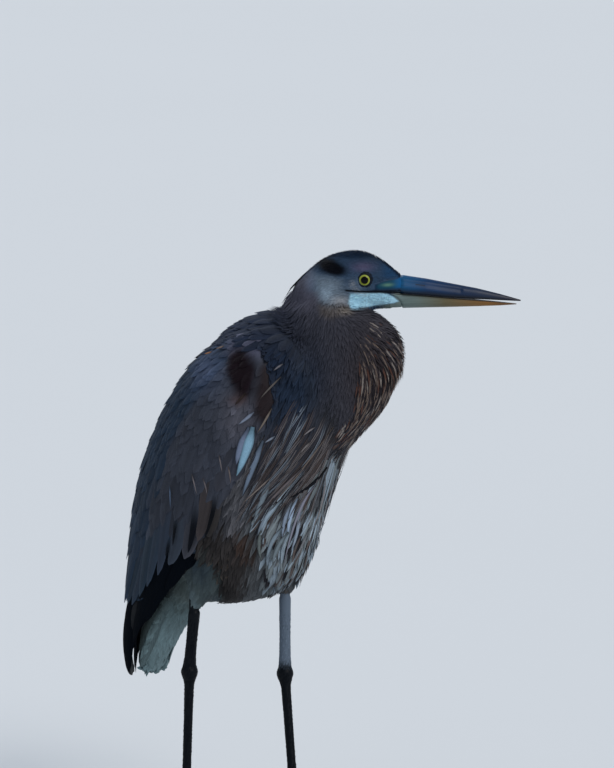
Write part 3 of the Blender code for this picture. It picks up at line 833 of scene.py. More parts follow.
def head_tone(points):
    """The cap, the nape and the ear, then the marks of the face, the black band and the gape."""
    near = on_head(points)
    flat = near[:, [0, 2]]
    ahead, up = flat.T
    crown = ease(up, 0.0235, 0.03) * ease(ahead, -0.066, -0.05)
    crown = np.clip(crown + ease(np.abs(near[:, 1]), 0.009, 0.005) * (up > 0), 0, 1)
    base = layered(
        np.broadcast_to(SLATE, (len(points), 3)),
        (NAPE_MAUVE, ease(ahead, -0.058, -0.07)),
        (NAPE_MAUVE, ease(ahead, -0.046, -0.056) * ease(up, -0.008, -0.014)),
        (BROW_MAUVE, soft_spot(flat, (-0.002, 0.0165), (0.013, 0.006))),
        (FOREHEAD, ease(ahead, 0.014, 0.03) * ease(up, -0.001, 0.006)),
        (DEEP_SLATE, crown),
        (EAR_GREY, soft_spot(flat, (-0.012, -0.008), (0.013, 0.01)) * 0.85),
        (NAPE_LIGHT, soft_spot(flat, (-0.064, -0.001), (0.007, 0.011)) * 0.9),
    )
    band = soft_spot(flat, (-0.045, 0.019), (0.015, 0.01))
    band = band + soft_spot(flat, (-0.031, 0.012), (0.013, 0.0075)) * 0.8
    base = layered(face_marks(base, flat), (NAVY_BLACK, ease(band, 0.15, 0.95)))
    around = np.hypot(ahead, up)
    below = ease(up, 0.003, -0.003) * ease(ahead, 0.007, 0.0)
    for ring in WRINKLES:
        ridge = 0.6 * np.exp(-(((around - ring - 0.0013) / 0.0006) ** 2)) * below
        base = layered(base, (CHEEK_WARM, ridge))
    horn = ease(ahead, 0.012, 0.03) * ease(up, -0.027, -0.03)
    horn = np.maximum(horn, ease(ahead, 0.033, 0.038) * ease(up, -0.014, -0.016))
    bill_edge = np.exp(-(((up + 0.0124) / 0.0018) ** 4))
    gape = np.maximum(near_line(flat, GAPE, 0.0013, 4), 0.85 * ease(ahead, 0.0, 0.012) * bill_edge)
    return layered(base, (HORN_GREY, horn * (1 - within(flat, CHIN, CHIN_EDGE))), (BLACK, gape))


def wing_tone(near):
    """Brown wing with slate shoulder and a slate blade darkened by painted shade, painted shade
    along the front rim, and the maroon bend.
    """
    flat = near[:, [0, 2]]
    ahead, up = flat.T
    return layered(
        np.broadcast_to(WING_BROWN, (len(near), 3)),
        (WING_LOW, ease(up, 0.44, 0.34)),
        # The blade behind the shoulder: real slate, darkened by painted shade.
        (SHADED_WING_SLATE, within(flat, SHOULDER_BLADE, 0.006)),
        (BACK_BLUE, soft_spot(flat, (-0.088, 0.563), (0.028, 0.026)) * 0.9),
        (SHOULDER, ease(up, 0.572, 0.59) * ease(ahead, -0.075, -0.05)),
        (WING_PALE, soft_spot(flat, (-0.032, 0.512), (0.022, 0.028)) * 0.85),
        # Painted shade along the wing's front edge, where it meets the breast.
        (FRONT_EDGE_SHADE, ease(ahead, -0.018, -0.006) * ease(up, 0.5, 0.515) * ease(up, 0.582, 0.568)),
        (MAROON, within(flat, WRIST, 0.007)),
        (WRIST_FOOT, soft_spot(flat, (-0.033, 0.533), (0.012, 0.007)) * 0.8),
    )


def under_tone(base, near):
    """The brown flank, then the tail's pale underside with a painted highlight, painted shade at
    its top and by the leg, and a painted shadow along the edge of the black primaries.
    """
    ahead, out, up = near.T
    flat = near[:, [0, 2]]
    aside = ease(out, 0.035, 0.05)
    under = ease(ahead, -0.07, -0.082) * ease(up, 0.372, 0.35)
    return layered(
        base,
        (FLANK_RUFOUS, soft_spot(flat, (-0.027, 0.378), (0.008, 0.019)) * aside),
        (FLANK_DARK, soft_spot(flat, (-0.069, 0.3132), (0.016, 0.015)) * aside * 0.8),
        (PALE_GREY, under),
        (PALE_END, under * ease(up, 0.325, 0.215) * ease(ahead, -0.115, -0.15)),
        # Painted highlight in the middle of the pale underside.
        (UNDERTAIL_HIGHLIGHT, under * soft_spot(flat, (-0.112, 0.29), (0.008, 0.02)) * 0.7),
        # Painted shade by the leg and at the top of the pale underside.
        (UNDERTAIL_SHADE, under * soft_spot(flat, (-0.088, 0.284), (0.013, 0.03)) * 0.8),
        (UNDERTAIL_SHADE, under * soft_spot(flat, (-0.092, 0.336), (0.024, 0.026))),
        # Painted shadow of the black primaries along their lower edge.
        (NAVY_BLACK, under * near_line(flat, TAIL_SHADE, 0.01) * 0.9),
    )


def ground_tone(points, kind):
    """The coat's colour at these points, with its painted light and shade, before any feather's
    own streaks and edges.
    """
    if kind == "head":
        return head_tone(points)
    near = folded(points)
    if kind == "wing":
        return wing_tone(near)
    base = np.broadcast_to(KIND_TONES[kind], (len(points), 3))
    if kind == "flight":
        return base
    if kind == "leg":
        left = points[:, 1] > MID_Y
        return layered(base, (SHANK_GREY, ease(near[:, 2], 0.186, 0.2) * left))
    if kind == "neck":
        base = patched(base, near, BODY_PATCHES)
        flat = on_head(points)[:, [0, 2]]
        nape = ease(flat[:, 0], -0.05, -0.066) * ease(flat[:, 1], -0.05, -0.018)
        return face_marks(layered(base, (NAPE_MAUVE, nape)), flat)
    flat = near[:, [0, 2]]
    if kind == "trunk":
        low = ease(near[:, 2], 0.415, 0.385) * ease(near[:, 0], 0.0, -0.02)
        side = near_line(flat, SIDE_LINE, 0.01) * 0.8
        base = patched(base, near, BODY_PATCHES)
        base = layered(base, (FLANK_BROWN, low), (SIDE_GREY, side))
    if kind != "tail":
        base = layered(base, (BELLY_GREY, within(flat, BELLY, 0.01) * 0.85))
    return under_tone(base, near)


def lore_tone(flat):
    """Bare skin in front of the eye: teal with a painted green highlight, dark by the eye and the gape.
    """
    shape = (len(flat), 3)
    teal = layered(
        np.broadcast_to(LORE_TEAL, shape),
        (LORE_BLUE, ease(flat[:, 0], 0.03, 0.043)),
        # Painted highlight: a green-yellow spot on the teal lore.
        (LORE_HIGHLIGHT, 0.8 * soft_spot(flat, (0.027, -0.0055), (0.0065, 0.0019))),
    )
    return layered(
        np.broadcast_to(LORE_EDGE, shape),
        (teal, within(flat, LORE_LIGHT, 0.0016)),
        (DEEP_SLATE, ease(flat[:, 0], 0.018, 0.009)),
        (BLACK, near_line(flat, GAPE, 0.0016, 4)),
        (DEEP_SLATE, 0.8 * near_line(flat, BROW, 0.0012)),
    )


skin_tones = np.empty((len(skin_points), 3))
for kind in COAT_DEPTH:
    mine = skin_kinds == kind
    skin_tones[mine] = ground_tone(skin_points[mine], kind)
flat = on_head(skin_points)[:, [0, 2]]
lore = within(flat, LORE, 0.0012) * (skin_kinds == "head")
colour_points(skin_mesh, layered(skin_tones, (lore_tone(flat), lore)))


def skin_material():
    """Fine pebbled skin in the coat's colours, a little glossier than the feathers."""
    material, tree, shader = new_material("bare_skin")
    pebble = add_node(tree, "TexVoronoi", Scale=900, Vector=own_place(tree))
    bump = add_node(tree, "Bump", Strength=0.4, Distance=0.0002, Height=pebble)
    feed(shader, Base_Color=named_value(tree, "plumage"), Normal=bump, Roughness=0.5,
         Specular_IOR_Level=0.12)
    return material


skin_mesh.materials.append(skin_material())


def plain_paint(kind, edge, tip, shaft, vary, follow=0.0):
    """Each feather in the coat's colour there, paler at its edge and tip, darker on its shaft.
    follow is how far the colour changes along the feather with the markings it lies over."""

    def paint(spots, share, across, rng, grid):
        if follow:
            place = spots[:, None, None] * (1 - follow) + grid * follow
            base = ground_tone(place.reshape(-1, 3), kind).reshape(grid.shape)
        else:
            base = ground_tone(spots, kind)[:, None, None, :]
        base = base * rng.normal(1, vary, (len(spots), 1, 1, 1))
        rim = np.abs(across) ** 2
        middle = (1 - np.abs(across)) ** 3
        return base * (1 + (edge - 1) * rim + (tip - 1) * share**2 + (shaft - 1) * middle)

    return paint


# Head feathers: short and hair-fine round the eye and bill, longer over the nape. They leave the
# lores, the gape and the eye bare.
HEAD_GAP = 0.00175
HEAD_WIDTH = 0.002
EYE_BARE = 0.01
soft_vane = feather_material("soft_vane", 14, 0.75)
rng = np.random.default_rng(11)
placed = on_head(face_middles)
flat = placed[:, [0, 2]]
eye_gap = np.min(
    [np.linalg.norm(face_middles - np.array(EYES[side]), axis=1) for side in EYES], axis=0
)
bare = (within(flat, LORE, 0.001) > 0.5) | (off_line(flat, GAPE) < 0.001)
bare |= (flat[:, 0] > 0.034) & (flat[:, 1] < -0.014)
allowed = (face_kinds == "head") & (eye_gap > EYE_BARE) & ~bare & (placed[:, 0] < 0.0465)
spots = scatter(hide_ground, allowed, HEAD_GAP, rng)
heads = on_head(spots)
length = np.interp(heads[:, 0], (-0.08, -0.03, 0.0, 0.04), (0.013, 0.009, 0.0055, 0.0045))
raised = 0.0012 + 0.0016 * ease(heads[:, 2], 0.012, 0.026)
head_paint = plain_paint("head", edge=1.12, tip=1.06, shaft=0.92, vary=0.08, follow=0.95)
head_feathers = vane_piece(
    "feathers_head", spots, length, HEAD_WIDTH, head_paint, soft_vane, rng, steps=3, low=-0.0002,
    high=raised, tip=2.5, cup=0.3, roll=0.08, axis=HEAD_AHEAD,
)

# Neck feathers: soft and fine, grey-mauve at the nape, browner in front, where long black, pale
# and rufous ones lie side by side as streaks.
NECK_GAP = 0.0028
NECK_WIDTH = 0.0027
STREAK_GAP = 0.0052
STREAK_LENGTH = 0.03
STREAK_WIDTH = 0.0032
STREAK_TONES = (tone(96, 84, 76), tone(16, 16, 20), tone(74, 50, 40), tone(124, 116, 110))
FORE_LIFT = 0.0056
rng = np.random.default_rng(12)


def fore_lift(spots):
    """How much further the feathers stand out on the front of the neck's loop."""
    return FORE_LIFT * ease(spots[:, 0], 0.1, 0.12) * ease(spots[:, 2], 0.565, 0.59)


spots = scatter(hide_ground, face_kinds == "neck", NECK_GAP, rng)
heads = on_head(spots)
nape = ease(heads[:, 0], -0.055, -0.068) * ease(heads[:, 2], -0.07, -0.04)
length = 0.015 + 0.008 * nape
lift = 0.0026 + 0.004 * nape + fore_lift(spots)
neck_paint = plain_paint("neck", edge=1.12, tip=1.08, shaft=0.92, vary=0.09, follow=0.9)
neck_feathers = vane_piece(
    "feathers_neck", spots, length, NECK_WIDTH, neck_paint, soft_vane, rng, steps=4,
    low=-0.0006, high=lift, tip=2.2, cup=0.3, roll=0.08,
)
near = folded(face_middles)
front = (near[:, 0] > 0.098) & (near[:, 1] < 0.036) & (near[:, 2] < 0.628)
front |= (near[:, 2] < 0.535) & (near[:, 1] < 0.03)
spots = scatter(hide_ground, front & (face_kinds == "neck"), STREAK_GAP, rng)


def streak_paint(spots, share, across, rng, grid):
    """Each streak leans to one of the streak tones, pale, black or rufous."""
    pick = np.array(STREAK_TONES)[rng.choice(4, len(spots), p=(0.3, 0.36, 0.18, 0.16))]
    base = ground_tone(spots, "neck") * 0.35 + pick * 0.65
    return base[:, None, None, :] * (1 + 0.15 * share - 0.2 * np.abs(across) ** 2)


neck_streaks = vane_piece(
    "streaks_neck", spots, STREAK_LENGTH, STREAK_WIDTH, streak_paint, soft_vane, rng,
    low=0.0004, high=0.0032 + fore_lift(spots), tip=1.8, cup=0.3, wander=0.07, roll=0.1,
)

# Breast: loose soft feathers rooted in the skin, blue-slate at the side, greyer below the neck
# and brown at the flank, each lying over the roots of the next.
BREAST_GAP = 0.006
rng = np.random.default_rng(13)
back = (face_kinds == "trunk") & ((face_ups[:, 0] < -0.1) | (face_middles[:, 2] > 0.6))
under = np.isin(face_kinds, ("tail", "thigh", "trunk")) & (near[:, 0] < -0.074)
under &= (near[:, 2] < 0.365) & ~back
soft_faces = np.isin(face_kinds, ("trunk", "neck", "thigh", "tail"))
body_ground = ground_within(soft_faces)
mine = (face_kinds == "trunk") & ~back & ~under
spots = scatter(body_ground, mine[soft_faces], BREAST_GAP, rng)
length = np.interp(spots[:, 2], (0.3, 0.42, 0.5, 0.58), (0.04, 0.048, 0.04, 0.026))
width = np.interp(spots[:, 2], (0.4, 0.58), (0.008, 0.006))
breast_paint = plain_paint("trunk", edge=1.3, tip=1.2, shaft=0.8, vary=0.14)
breast_feathers = vane_piece(
    "feathers_breast", spots, length, width, breast_paint, soft_vane, rng, high=0.0048, tip=2.4,
    root=0.45, cup=0.3, ground=body_ground,
)

# Belly: long white feathers with dark shafts, painted shade along one rim and at the root, which
# hang over the darker ones as streaks from the lower neck to between the thighs.
BELLY_ROOTS = ((-0.006, 0.42), (0.0, 0.433), (0.0088, 0.44), (0.0302, 0.46),
               (0.056, 0.472), (0.12, 0.47), (0.08, 0.3), (0.01, 0.26),
               (-0.028, 0.27), (-0.024, 0.3208), (-0.015, 0.3593))
BELLY_GAP = 0.0076
BELLY_WIDTH = 0.0088
BELLY_TONES = (tone(134, 148, 160), tone(106, 114, 118), tone(80, 72, 70), tone(34, 34, 38))
BELLY_SHADE = tone(48, 49, 53)
rng = np.random.default_rng(20)
belly = within(near[:, [0, 2]], BELLY_ROOTS, 0.004) > 0.5
spots = scatter(body_ground, (belly & (face_kinds != "tail"))[soft_faces], BELLY_GAP, rng)
length = np.interp(spots[:, 2], (0.28, 0.34, 0.42), (0.024, 0.046, 0.07))
length = length * np.interp(spots[:, 0] + (0.46 - spots[:, 2]) * 0.2, (0.0, 0.03), (0.55, 1.0))


def belly_paint(spots, share, across, rng, grid):
    """Some vanes are white, some grey, brown or black; all have a dark shaft, and painted shade
    at one edge and at the root.
    """
    pick = np.array(BELLY_TONES)[rng.choice(4, len(spots), p=(0.38, 0.28, 0.17, 0.17))]
    bright = np.interp(spots[:, 2], (0.29, 0.34, 0.42), (0.6, 0.85, 1.05))
    bright = bright * rng.uniform(0.7, 1.1, len(spots))
    bright = bright * np.interp(spots[:, 0], (-0.035, 0.0), (0.65, 1.0))
    bright = bright * np.interp(spots[:, 2], (0.43, 0.46), (1.0, 0.85))
    base = (pick * bright[:, None])[:, None, None, :]
    lean = rng.choice((-1, 1), len(spots))[:, None, None, None]
    # Painted shade at one edge and at the root; the dark shaft is the vane's own.
    shade = ease(across * lean, 0.1, 0.9) * 0.5 + ease(np.abs(across), 0.3, 0.05) * 0.25
    shade = np.clip(shade + ease(share, 0.35, 0.0) * 0.8, 0, 1)
    return base * (1 - shade) + BELLY_SHADE * shade


belly_streaks = vane_piece(
    "streaks_belly", spots, length, BELLY_WIDTH, belly_paint, soft_vane, rng, steps=9,
    low=0.0006, high=0.0066, tip=1.8, columns=5, ground=body_ground,
)

# Back: the mantle, broad dark slate-grey feathers rooted between the wings, darker still on top
# by painted shade, which lie over one another like the slates of a roof.
MANTLE_GAP = 0.0085
MANTLE_LENGTH = 0.036
MANTLE_WIDTH = 0.014
rng = np.random.default_rng(17)
spots = scatter(hide_ground, back, MANTLE_GAP, rng)
mantle_paint = plain_paint("trunk", edge=1.2, tip=1.1, shaft=0.85, vary=0.1)
mantle = vane_piece(
    "feathers_mantle", spots, MANTLE_LENGTH, MANTLE_WIDTH, mantle_paint, soft_vane, rng,
    high=0.0036, columns=5, wander=0.05, roll=0.06,
)

# Neck plumes: long lance-shaped feathers that start low on the neck and sweep down and back
# over the breast to the bend of the wing, slate and brown with pale rims.
PLUME_ROOTS = ((0.083, 0.515), (0.076, 0.478), (0.05, 0.452), (0.026, 0.45),
               (0.006, 0.475), (0.014, 0.53), (0.035, 0.55), (0.06, 0.54))
PLUME_GAP = 0.0072
PLUME_WIDTH = 0.0042
PLUME_TONES = (tone(54, 53, 58), tone(100, 94, 94), tone(72, 62, 58), tone(106, 114, 124))
rng = np.random.default_rng(18)
rooted = (within(near[:, [0, 2]], PLUME_ROOTS, 0.004) > 0.5) & (near[:, 1] > 0.01)
spots = scatter(body_ground, rooted[soft_faces], PLUME_GAP, rng)
length = np.interp(spots[:, 2], (0.45, 0.49, 0.55), (0.09, 0.105, 0.07))


def plume_paint(spots, share, across, rng, grid):
    """The breast's colour in the middle, with a rim of one of the plume tones."""
    base = ground_tone(spots, "trunk") * rng.normal(0.95, 0.15, (len(spots), 1))
    pick = np.array(PLUME_TONES)[rng.choice(4, len(spots), p=(0.5, 0.2, 0.2, 0.1))]
    rim = ease(np.abs(across), 0.2, 0.9) * ease(share, 0.2, 0.55)
    return base[:, None, None, :] * (1 - rim) + pick[:, None, None, :] * rim


plumes = vane_piece(
    "plumes_neck", spots, length, PLUME_WIDTH, plume_paint, soft_vane, rng, steps=12,
    low=0.0008, high=0.008, tip=1.5, cup=0.2, wander=0.07, ground=body_ground,
)

# White plumes: on each side a few broad blue-white feathers lie down the wing's front edge, and
# slim pale ones over breast, shoulder and belly, each in a place of its own.
PLUME_LINES = (  # width, colour, points from root to tip as (ahead, out, up)
    (0.003, (118, 84, 60), (-0.0846, 0.0625, 0.5817), (-0.0895, 0.0615, 0.5795),
     (-0.0943, 0.0602, 0.5772)),
    (0.003, (98, 84, 78), (-0.068, 0.062, 0.59), (-0.0725, 0.0628, 0.5873), (-0.077, 0.063, 0.585)),
    (0.0075, (96, 106, 114), (-0.0023, 0.0667, 0.4306), (-0.013, 0.0672, 0.4094),
     (-0.0245, 0.0664, 0.3843)),
    (0.002, (100, 94, 96), (-0.0952, 0.0919, 0.4377), (-0.0908, 0.0923, 0.426),
     (-0.0881, 0.0899, 0.4139)),
    (0.002, (96, 90, 92), (-0.0569, 0.0934, 0.4637), (-0.0553, 0.0914, 0.4539),
     (-0.0538, 0.0893, 0.4429)),
    (0.002, (92, 86, 88), (-0.0797, 0.0924, 0.4341), (-0.0768, 0.0903, 0.4244),
     (-0.0752, 0.0883, 0.4146)),
    (0.002, (94, 86, 84), (-0.0469, 0.0892, 0.4507), (-0.0453, 0.0873, 0.4409), (-0.0452, 0.085, 0.4304)),
    (0.0026, (74, 88, 108), (-0.1296, 0.0857, 0.4197), (-0.1285, 0.0854, 0.4077),
     (-0.1276, 0.0845, 0.3931)),
    (0.01, (96, 106, 126), (-0.019, 0.0869, 0.499), (-0.03, 0.088, 0.474), (-0.036, 0.0868, 0.454)),
    (0.0125, (112, 144, 164), (-0.015, 0.0856, 0.5), (-0.0195, 0.0856, 0.481),
     (-0.0275, 0.0857, 0.462), (-0.0372, 0.0851, 0.44)),
    (0.008, (90, 102, 118), (-0.0059, 0.0769, 0.483), (-0.0139, 0.0774, 0.4612),
     (-0.0248, 0.0776, 0.4388), (-0.0338, 0.0767, 0.415)),
    (0.003, (98, 90, 84), (0.0069, 0.0785, 0.5226), (-0.0006, 0.0812, 0.5083), (-0.0102, 0.0836, 0.4935)),
    (0.0044, (104, 112, 128), (-0.013, 0.0859, 0.5176), (-0.0211, 0.0884, 0.5101),
     (-0.0305, 0.0911, 0.5026)),
    (0.003, (104, 110, 122), (0.0079, 0.0723, 0.4886), (0.002, 0.0744, 0.4845),
     (-0.0035, 0.0763, 0.4811)),
    (0.0024, (106, 102, 104), (0.0495, 0.0494, 0.4995), (0.043, 0.0531, 0.495), (0.0373, 0.0568, 0.49)),
    (0.0024, (102, 98, 98), (0.0427, 0.0495, 0.481), (0.037, 0.0518, 0.475), (0.0317, 0.0542, 0.4688)),
    (0.0024, (90, 82, 78), (0.0666, 0.0363, 0.4991), (0.0471, 0.0404, 0.4706),
     (0.0322, 0.0479, 0.45), (0.0082, 0.0563, 0.418), (-0.003, 0.0607, 0.4045)),
    (0.0024, (104, 96, 92), (0.0019, 0.0668, 0.4406), (-0.0162, 0.0711, 0.4229),
     (-0.0345, 0.0753, 0.4064)),
    (0.0034, (90, 84, 86), (0.0322, 0.0479, 0.45), (0.0046, 0.0595, 0.4194), (-0.0253, 0.0675, 0.388)),
    (0.0055, (14, 16, 22), (0.0491, 0.0201, 0.4477), (0.0333, 0.0332, 0.4265), (0.0136, 0.0515, 0.413)),
    (0.0026, (92, 90, 94), (0.0135, 0.0628, 0.5741), (0.0085, 0.066, 0.57), (0.0042, 0.0683, 0.5657)),
    (0.0026, (78, 74, 72), (0.0131, 0.067, 0.559), (0.0033, 0.0761, 0.5463), (-0.0062, 0.0832, 0.5333)),
    (0.0036, (46, 38, 36), (-0.0237, 0.0863, 0.5396), (-0.03, 0.0882, 0.532), (-0.0354, 0.0898, 0.5248)),
    (0.0062, (132, 148, 168), (0.0209, 0.0426, 0.4111), (0.0115, 0.043, 0.3876),
     (0.0051, 0.0391, 0.3648)),
    (0.0062, (118, 132, 144), (0.007, 0.0543, 0.4092), (-0.0088, 0.0603, 0.3907),
     (-0.0182, 0.0608, 0.372)),
    (0.006, (106, 118, 128), (0.0036, 0.046, 0.3753), (-0.0098, 0.0492, 0.3565),
     (-0.0194, 0.0469, 0.3336)),
    (0.0042, (112, 112, 124), (0.0388, 0.0261, 0.4284), (0.024, 0.0338, 0.4042),
     (0.0113, 0.0357, 0.3745), (-0.0074, 0.0296, 0.3237)),
    (0.0036, (108, 104, 106), (0.0452, 0.0181, 0.4375), (0.0373, 0.0091, 0.4139),
     (0.0288, 0.0063, 0.3887), (0.0196, 0.0119, 0.367)),
    (0.0045, (94, 96, 100), (0.0214, 0.0125, 0.372), (0.012, 0.0177, 0.3502), (0.0019, 0.0218, 0.3294)),
    (0.0045, (84, 90, 90), (-0.0166, 0.061, 0.3757), (-0.023, 0.0573, 0.353), (-0.0235, 0.0495, 0.3337)),
    (0.0052, (118, 128, 142), (0.0214, 0.0364, 0.4019), (0.0136, 0.0301, 0.3702),
     (0.0037, 0.0297, 0.3452)),
    (0.0055, (112, 124, 140), (0.0149, 0.045, 0.4071), (0.0055, 0.0455, 0.3836),
     (-0.0009, 0.0415, 0.3608)),
    (0.0055, (98, 108, 118), (0.001, 0.0566, 0.4032), (-0.013, 0.0618, 0.3847), (-0.0225, 0.0617, 0.366)),
    (0.0055, (96, 106, 112), (0.0096, 0.0432, 0.3693), (-0.0038, 0.0464, 0.3505),
     (-0.0134, 0.0442, 0.3276)),
)
rng = np.random.default_rng(21)


def row_tones(rows):
    """The rows' own colours, for the feathers of both sides."""
    return np.array([tone(*row[1]) for row in rows] * 2)[:, None, None, :]


def laid_paint(rows, edge, root):
    """Each feather's own colour, fading into the coat at its root and along its edges."""
    colours = row_tones(rows)

    def paint(spots, share, across, rng, grid):
        shade = ease(np.abs(across), 0.4, 1.0) * edge + ease(share, 0.35, 0.0) * root
        shade = shade + ease(share, 0.75, 1.0) * root * 0.7
        return colours * (1 - np.clip(shade, 0, 1))

    return paint


white_plumes = laid_piece(
    "plumes_white", PLUME_LINES, laid_paint(PLUME_LINES, edge=0.5, root=0.6), soft_vane, rng,
    hide_ground, steps=12, low=0.0008, tip=2.0,
)

# Wings: small coverts over the shoulder, larger ones lower down, then the long tertials, whose
# tips step down over the black primaries. Each layer ends where the wing does.
SMALL_GAP = 0.0095
LARGE_GAP = 0.015
LARGE_LENGTH = 0.075
LARGE_WIDTH = 0.0225
stiff_vane = feather_material("stiff_vane", 60, 0.7, fleck=0.1)
black_vane = feather_material("black_vane", 90, 0.6, sheen=0.01, gloss=0.03)
TERTIALS = (  # width, colour, points from root to tip as (ahead, out, up)
    (0.015, (32, 44, 58), (-0.189, 0.06, 0.375), (-0.203, 0.0545, 0.32), (-0.2125, 0.05, 0.266)),
    (0.016, (34, 44, 54), (-0.18, 0.0655, 0.37), (-0.195, 0.0581, 0.315), (-0.2065, 0.0525, 0.266)),
    (0.02, (38, 47, 58), (-0.162, 0.0739, 0.395), (-0.1815, 0.0637, 0.325), (-0.1975, 0.058, 0.266)),
    (0.022, (36, 46, 56), (-0.156, 0.0764, 0.405), (-0.168, 0.0704, 0.35), (-0.184, 0.0632, 0.278)),
    (0.022, (41, 50, 61), (-0.145, 0.0807, 0.42), (-0.156, 0.075, 0.36), (-0.171, 0.0671, 0.292)),
    (0.022, (43, 50, 61), (-0.13, 0.086, 0.43), (-0.14, 0.0804, 0.375), (-0.154, 0.0702, 0.308)),
    (0.024, (48, 54, 63), (-0.106, 0.0905, 0.45), (-0.115, 0.087, 0.392),
     (-0.1253, 0.0793, 0.3538), (-0.1378, 0.0727, 0.3215)),
    (0.026, (54, 55, 61), (-0.084, 0.0929, 0.465), (-0.0929, 0.0889, 0.4061),
     (-0.1014, 0.0818, 0.3682), (-0.1153, 0.0748, 0.331)),
    (0.019, (46, 44, 44), (-0.054, 0.0939, 0.47), (-0.0653, 0.0863, 0.4115),
     (-0.077, 0.0788, 0.3818), (-0.085, 0.0713, 0.36)),
    (0.021, (54, 50, 51), (-0.064, 0.0939, 0.475), (-0.0722, 0.0909, 0.4321),
     (-0.0798, 0.0854, 0.3946), (-0.093, 0.0815, 0.356)),
    (0.0085, (8, 13, 20), (-0.09, 0.0925, 0.415), (-0.0925, 0.0905, 0.393),
     (-0.099, 0.0855, 0.363), (-0.106, 0.081, 0.342)),
    (0.0055, (10, 13, 18), (-0.067, 0.09, 0.419), (-0.0655, 0.0885, 0.406),
     (-0.072, 0.086, 0.388), (-0.083, 0.083, 0.36)),
    (0.0045, (10, 15, 21), (-0.1215, 0.0868, 0.39), (-0.1245, 0.0845, 0.37), (-0.1265, 0.0815, 0.348)),
    (0.004, (12, 17, 24), (-0.134, 0.083, 0.362), (-0.137, 0.08, 0.345), (-0.139, 0.077, 0.333)),
)
PRIMARIES = tuple(
    (0.0175, (6, 12, 18)) + line
    for line in (
        ((-0.0812, 0.076, 0.3821), (-0.0989, 0.072, 0.3453), (-0.119, 0.0699, 0.317)),
        ((-0.0978, 0.0797, 0.3778), (-0.1206, 0.0745, 0.3261), (-0.146, 0.0694, 0.29)),
        ((-0.1095, 0.079, 0.3707), (-0.1374, 0.0722, 0.3122), (-0.167, 0.0643, 0.267)),
        ((-0.12, 0.078, 0.3636), (-0.1496, 0.0707, 0.3012), (-0.181, 0.0569, 0.247)),
        ((-0.1344, 0.077, 0.3593), (-0.1639, 0.069, 0.2944), (-0.194, 0.053, 0.234)),
        ((-0.1481, 0.0735, 0.3515), (-0.1757, 0.0658, 0.2869), (-0.203, 0.05, 0.219)),
        ((-0.1621, 0.069, 0.3437), (-0.1883, 0.059, 0.2787), (-0.21, 0.044, 0.202)),
        ((-0.195, 0.056, 0.3), (-0.204, 0.0545, 0.26), (-0.214, 0.046, 0.2074),
         (-0.218, 0.0359, 0.18)),
        ((-0.182, 0.054, 0.295), (-0.2, 0.044, 0.24), (-0.2125, 0.0345, 0.184)),
        ((-0.179, 0.056, 0.29), (-0.196, 0.045, 0.24), (-0.2085, 0.0365, 0.19)),
        ((-0.201, 0.05, 0.275), (-0.2065, 0.052, 0.25), (-0.2145, 0.0465, 0.2097),
         (-0.2168, 0.0384, 0.1836)),
        ((-0.1621, 0.062, 0.33), (-0.1883, 0.052, 0.265), (-0.205, 0.037, 0.199)),
        ((-0.17, 0.06, 0.32), (-0.193, 0.05, 0.255), (-0.211, 0.034, 0.178)),
    )
)


def tertial_paint(spots, share, across, rng, grid):
    """Slate-brown vanes, darker along the shaft, with thin paler rims and tips."""
    own = ease(share, 0.1, 0.6)
    base = ground_tone(spots, "wing")[:, None, None, :] * (1 - own)
    base = base + row_tones(TERTIALS) * own
    rim = ease(np.abs(across), 0.7, 1.0) * 0.3 + ease(share, 0.85, 1.0) * 0.25
    return base * (1.0 + rim - 0.18 * ease(np.abs(across), 0.35, 0.0))


small_paint = plain_paint("wing", edge=1.12, tip=1.06, shaft=0.9, vary=0.13, follow=0.85)
large_paint = plain_paint("wing", edge=1.15, tip=1.05, shaft=0.84, vary=0.15)
for side, sign in (("left", 1), ("right", -1)):
    rng = np.random.default_rng(14)
    own_side = (face_middles[:, 1] - MID_Y) * sign > 0
    ground = ground_within((face_kinds == "wing") & own_side & (face_ups[:, 1] * sign > -0.1))
    heights = ground.middles[:, 2]
    facing = np.array([up.y * sign for up in ground.ups]) > 0.12
    spots = scatter(ground, (heights > 0.47) & facing, SMALL_GAP, rng)
    length = np.interp(spots[:, 2], (0.47, 0.54, 0.6), (0.046, 0.034, 0.024))
    width = np.interp(spots[:, 2], (0.47, 0.54, 0.6), (0.0175, 0.014, 0.011))
    small = vane_piece(
        "coverts_small_" + side, spots, length, width, small_paint, soft_vane, rng, low=-0.0006,
        columns=5, roll=0.05, free=0.005, ground=ground,
    )
    spots = scatter(ground, (heights < 0.5) & (heights > 0.3) & facing, LARGE_GAP, rng)
    large = vane_piece(
        "coverts_large_" + side, spots, LARGE_LENGTH, LARGE_WIDTH, large_paint, stiff_vane, rng,
        steps=8, low=-0.0004, high=0.0036, tip=5.0, cup=0.2, columns=5, wander=0.05, roll=0.04,
        free=0.004, ground=ground,
    )
wing_or_flight = ground_within(np.isin(face_kinds, ("wing", "flight")))
tertials = laid_piece(
    "tertials", TERTIALS, tertial_paint, stiff_vane, rng, wing_or_flight, low=-0.0045, high=0.0032,
    columns=7,
)
primaries = laid_piece(
    "primaries", PRIMARIES, laid_paint(PRIMARIES, edge=0.1, root=0.0), black_vane, rng,
    ground_within(face_kinds == "flight"), low=0.0004, high=0.0012,
)

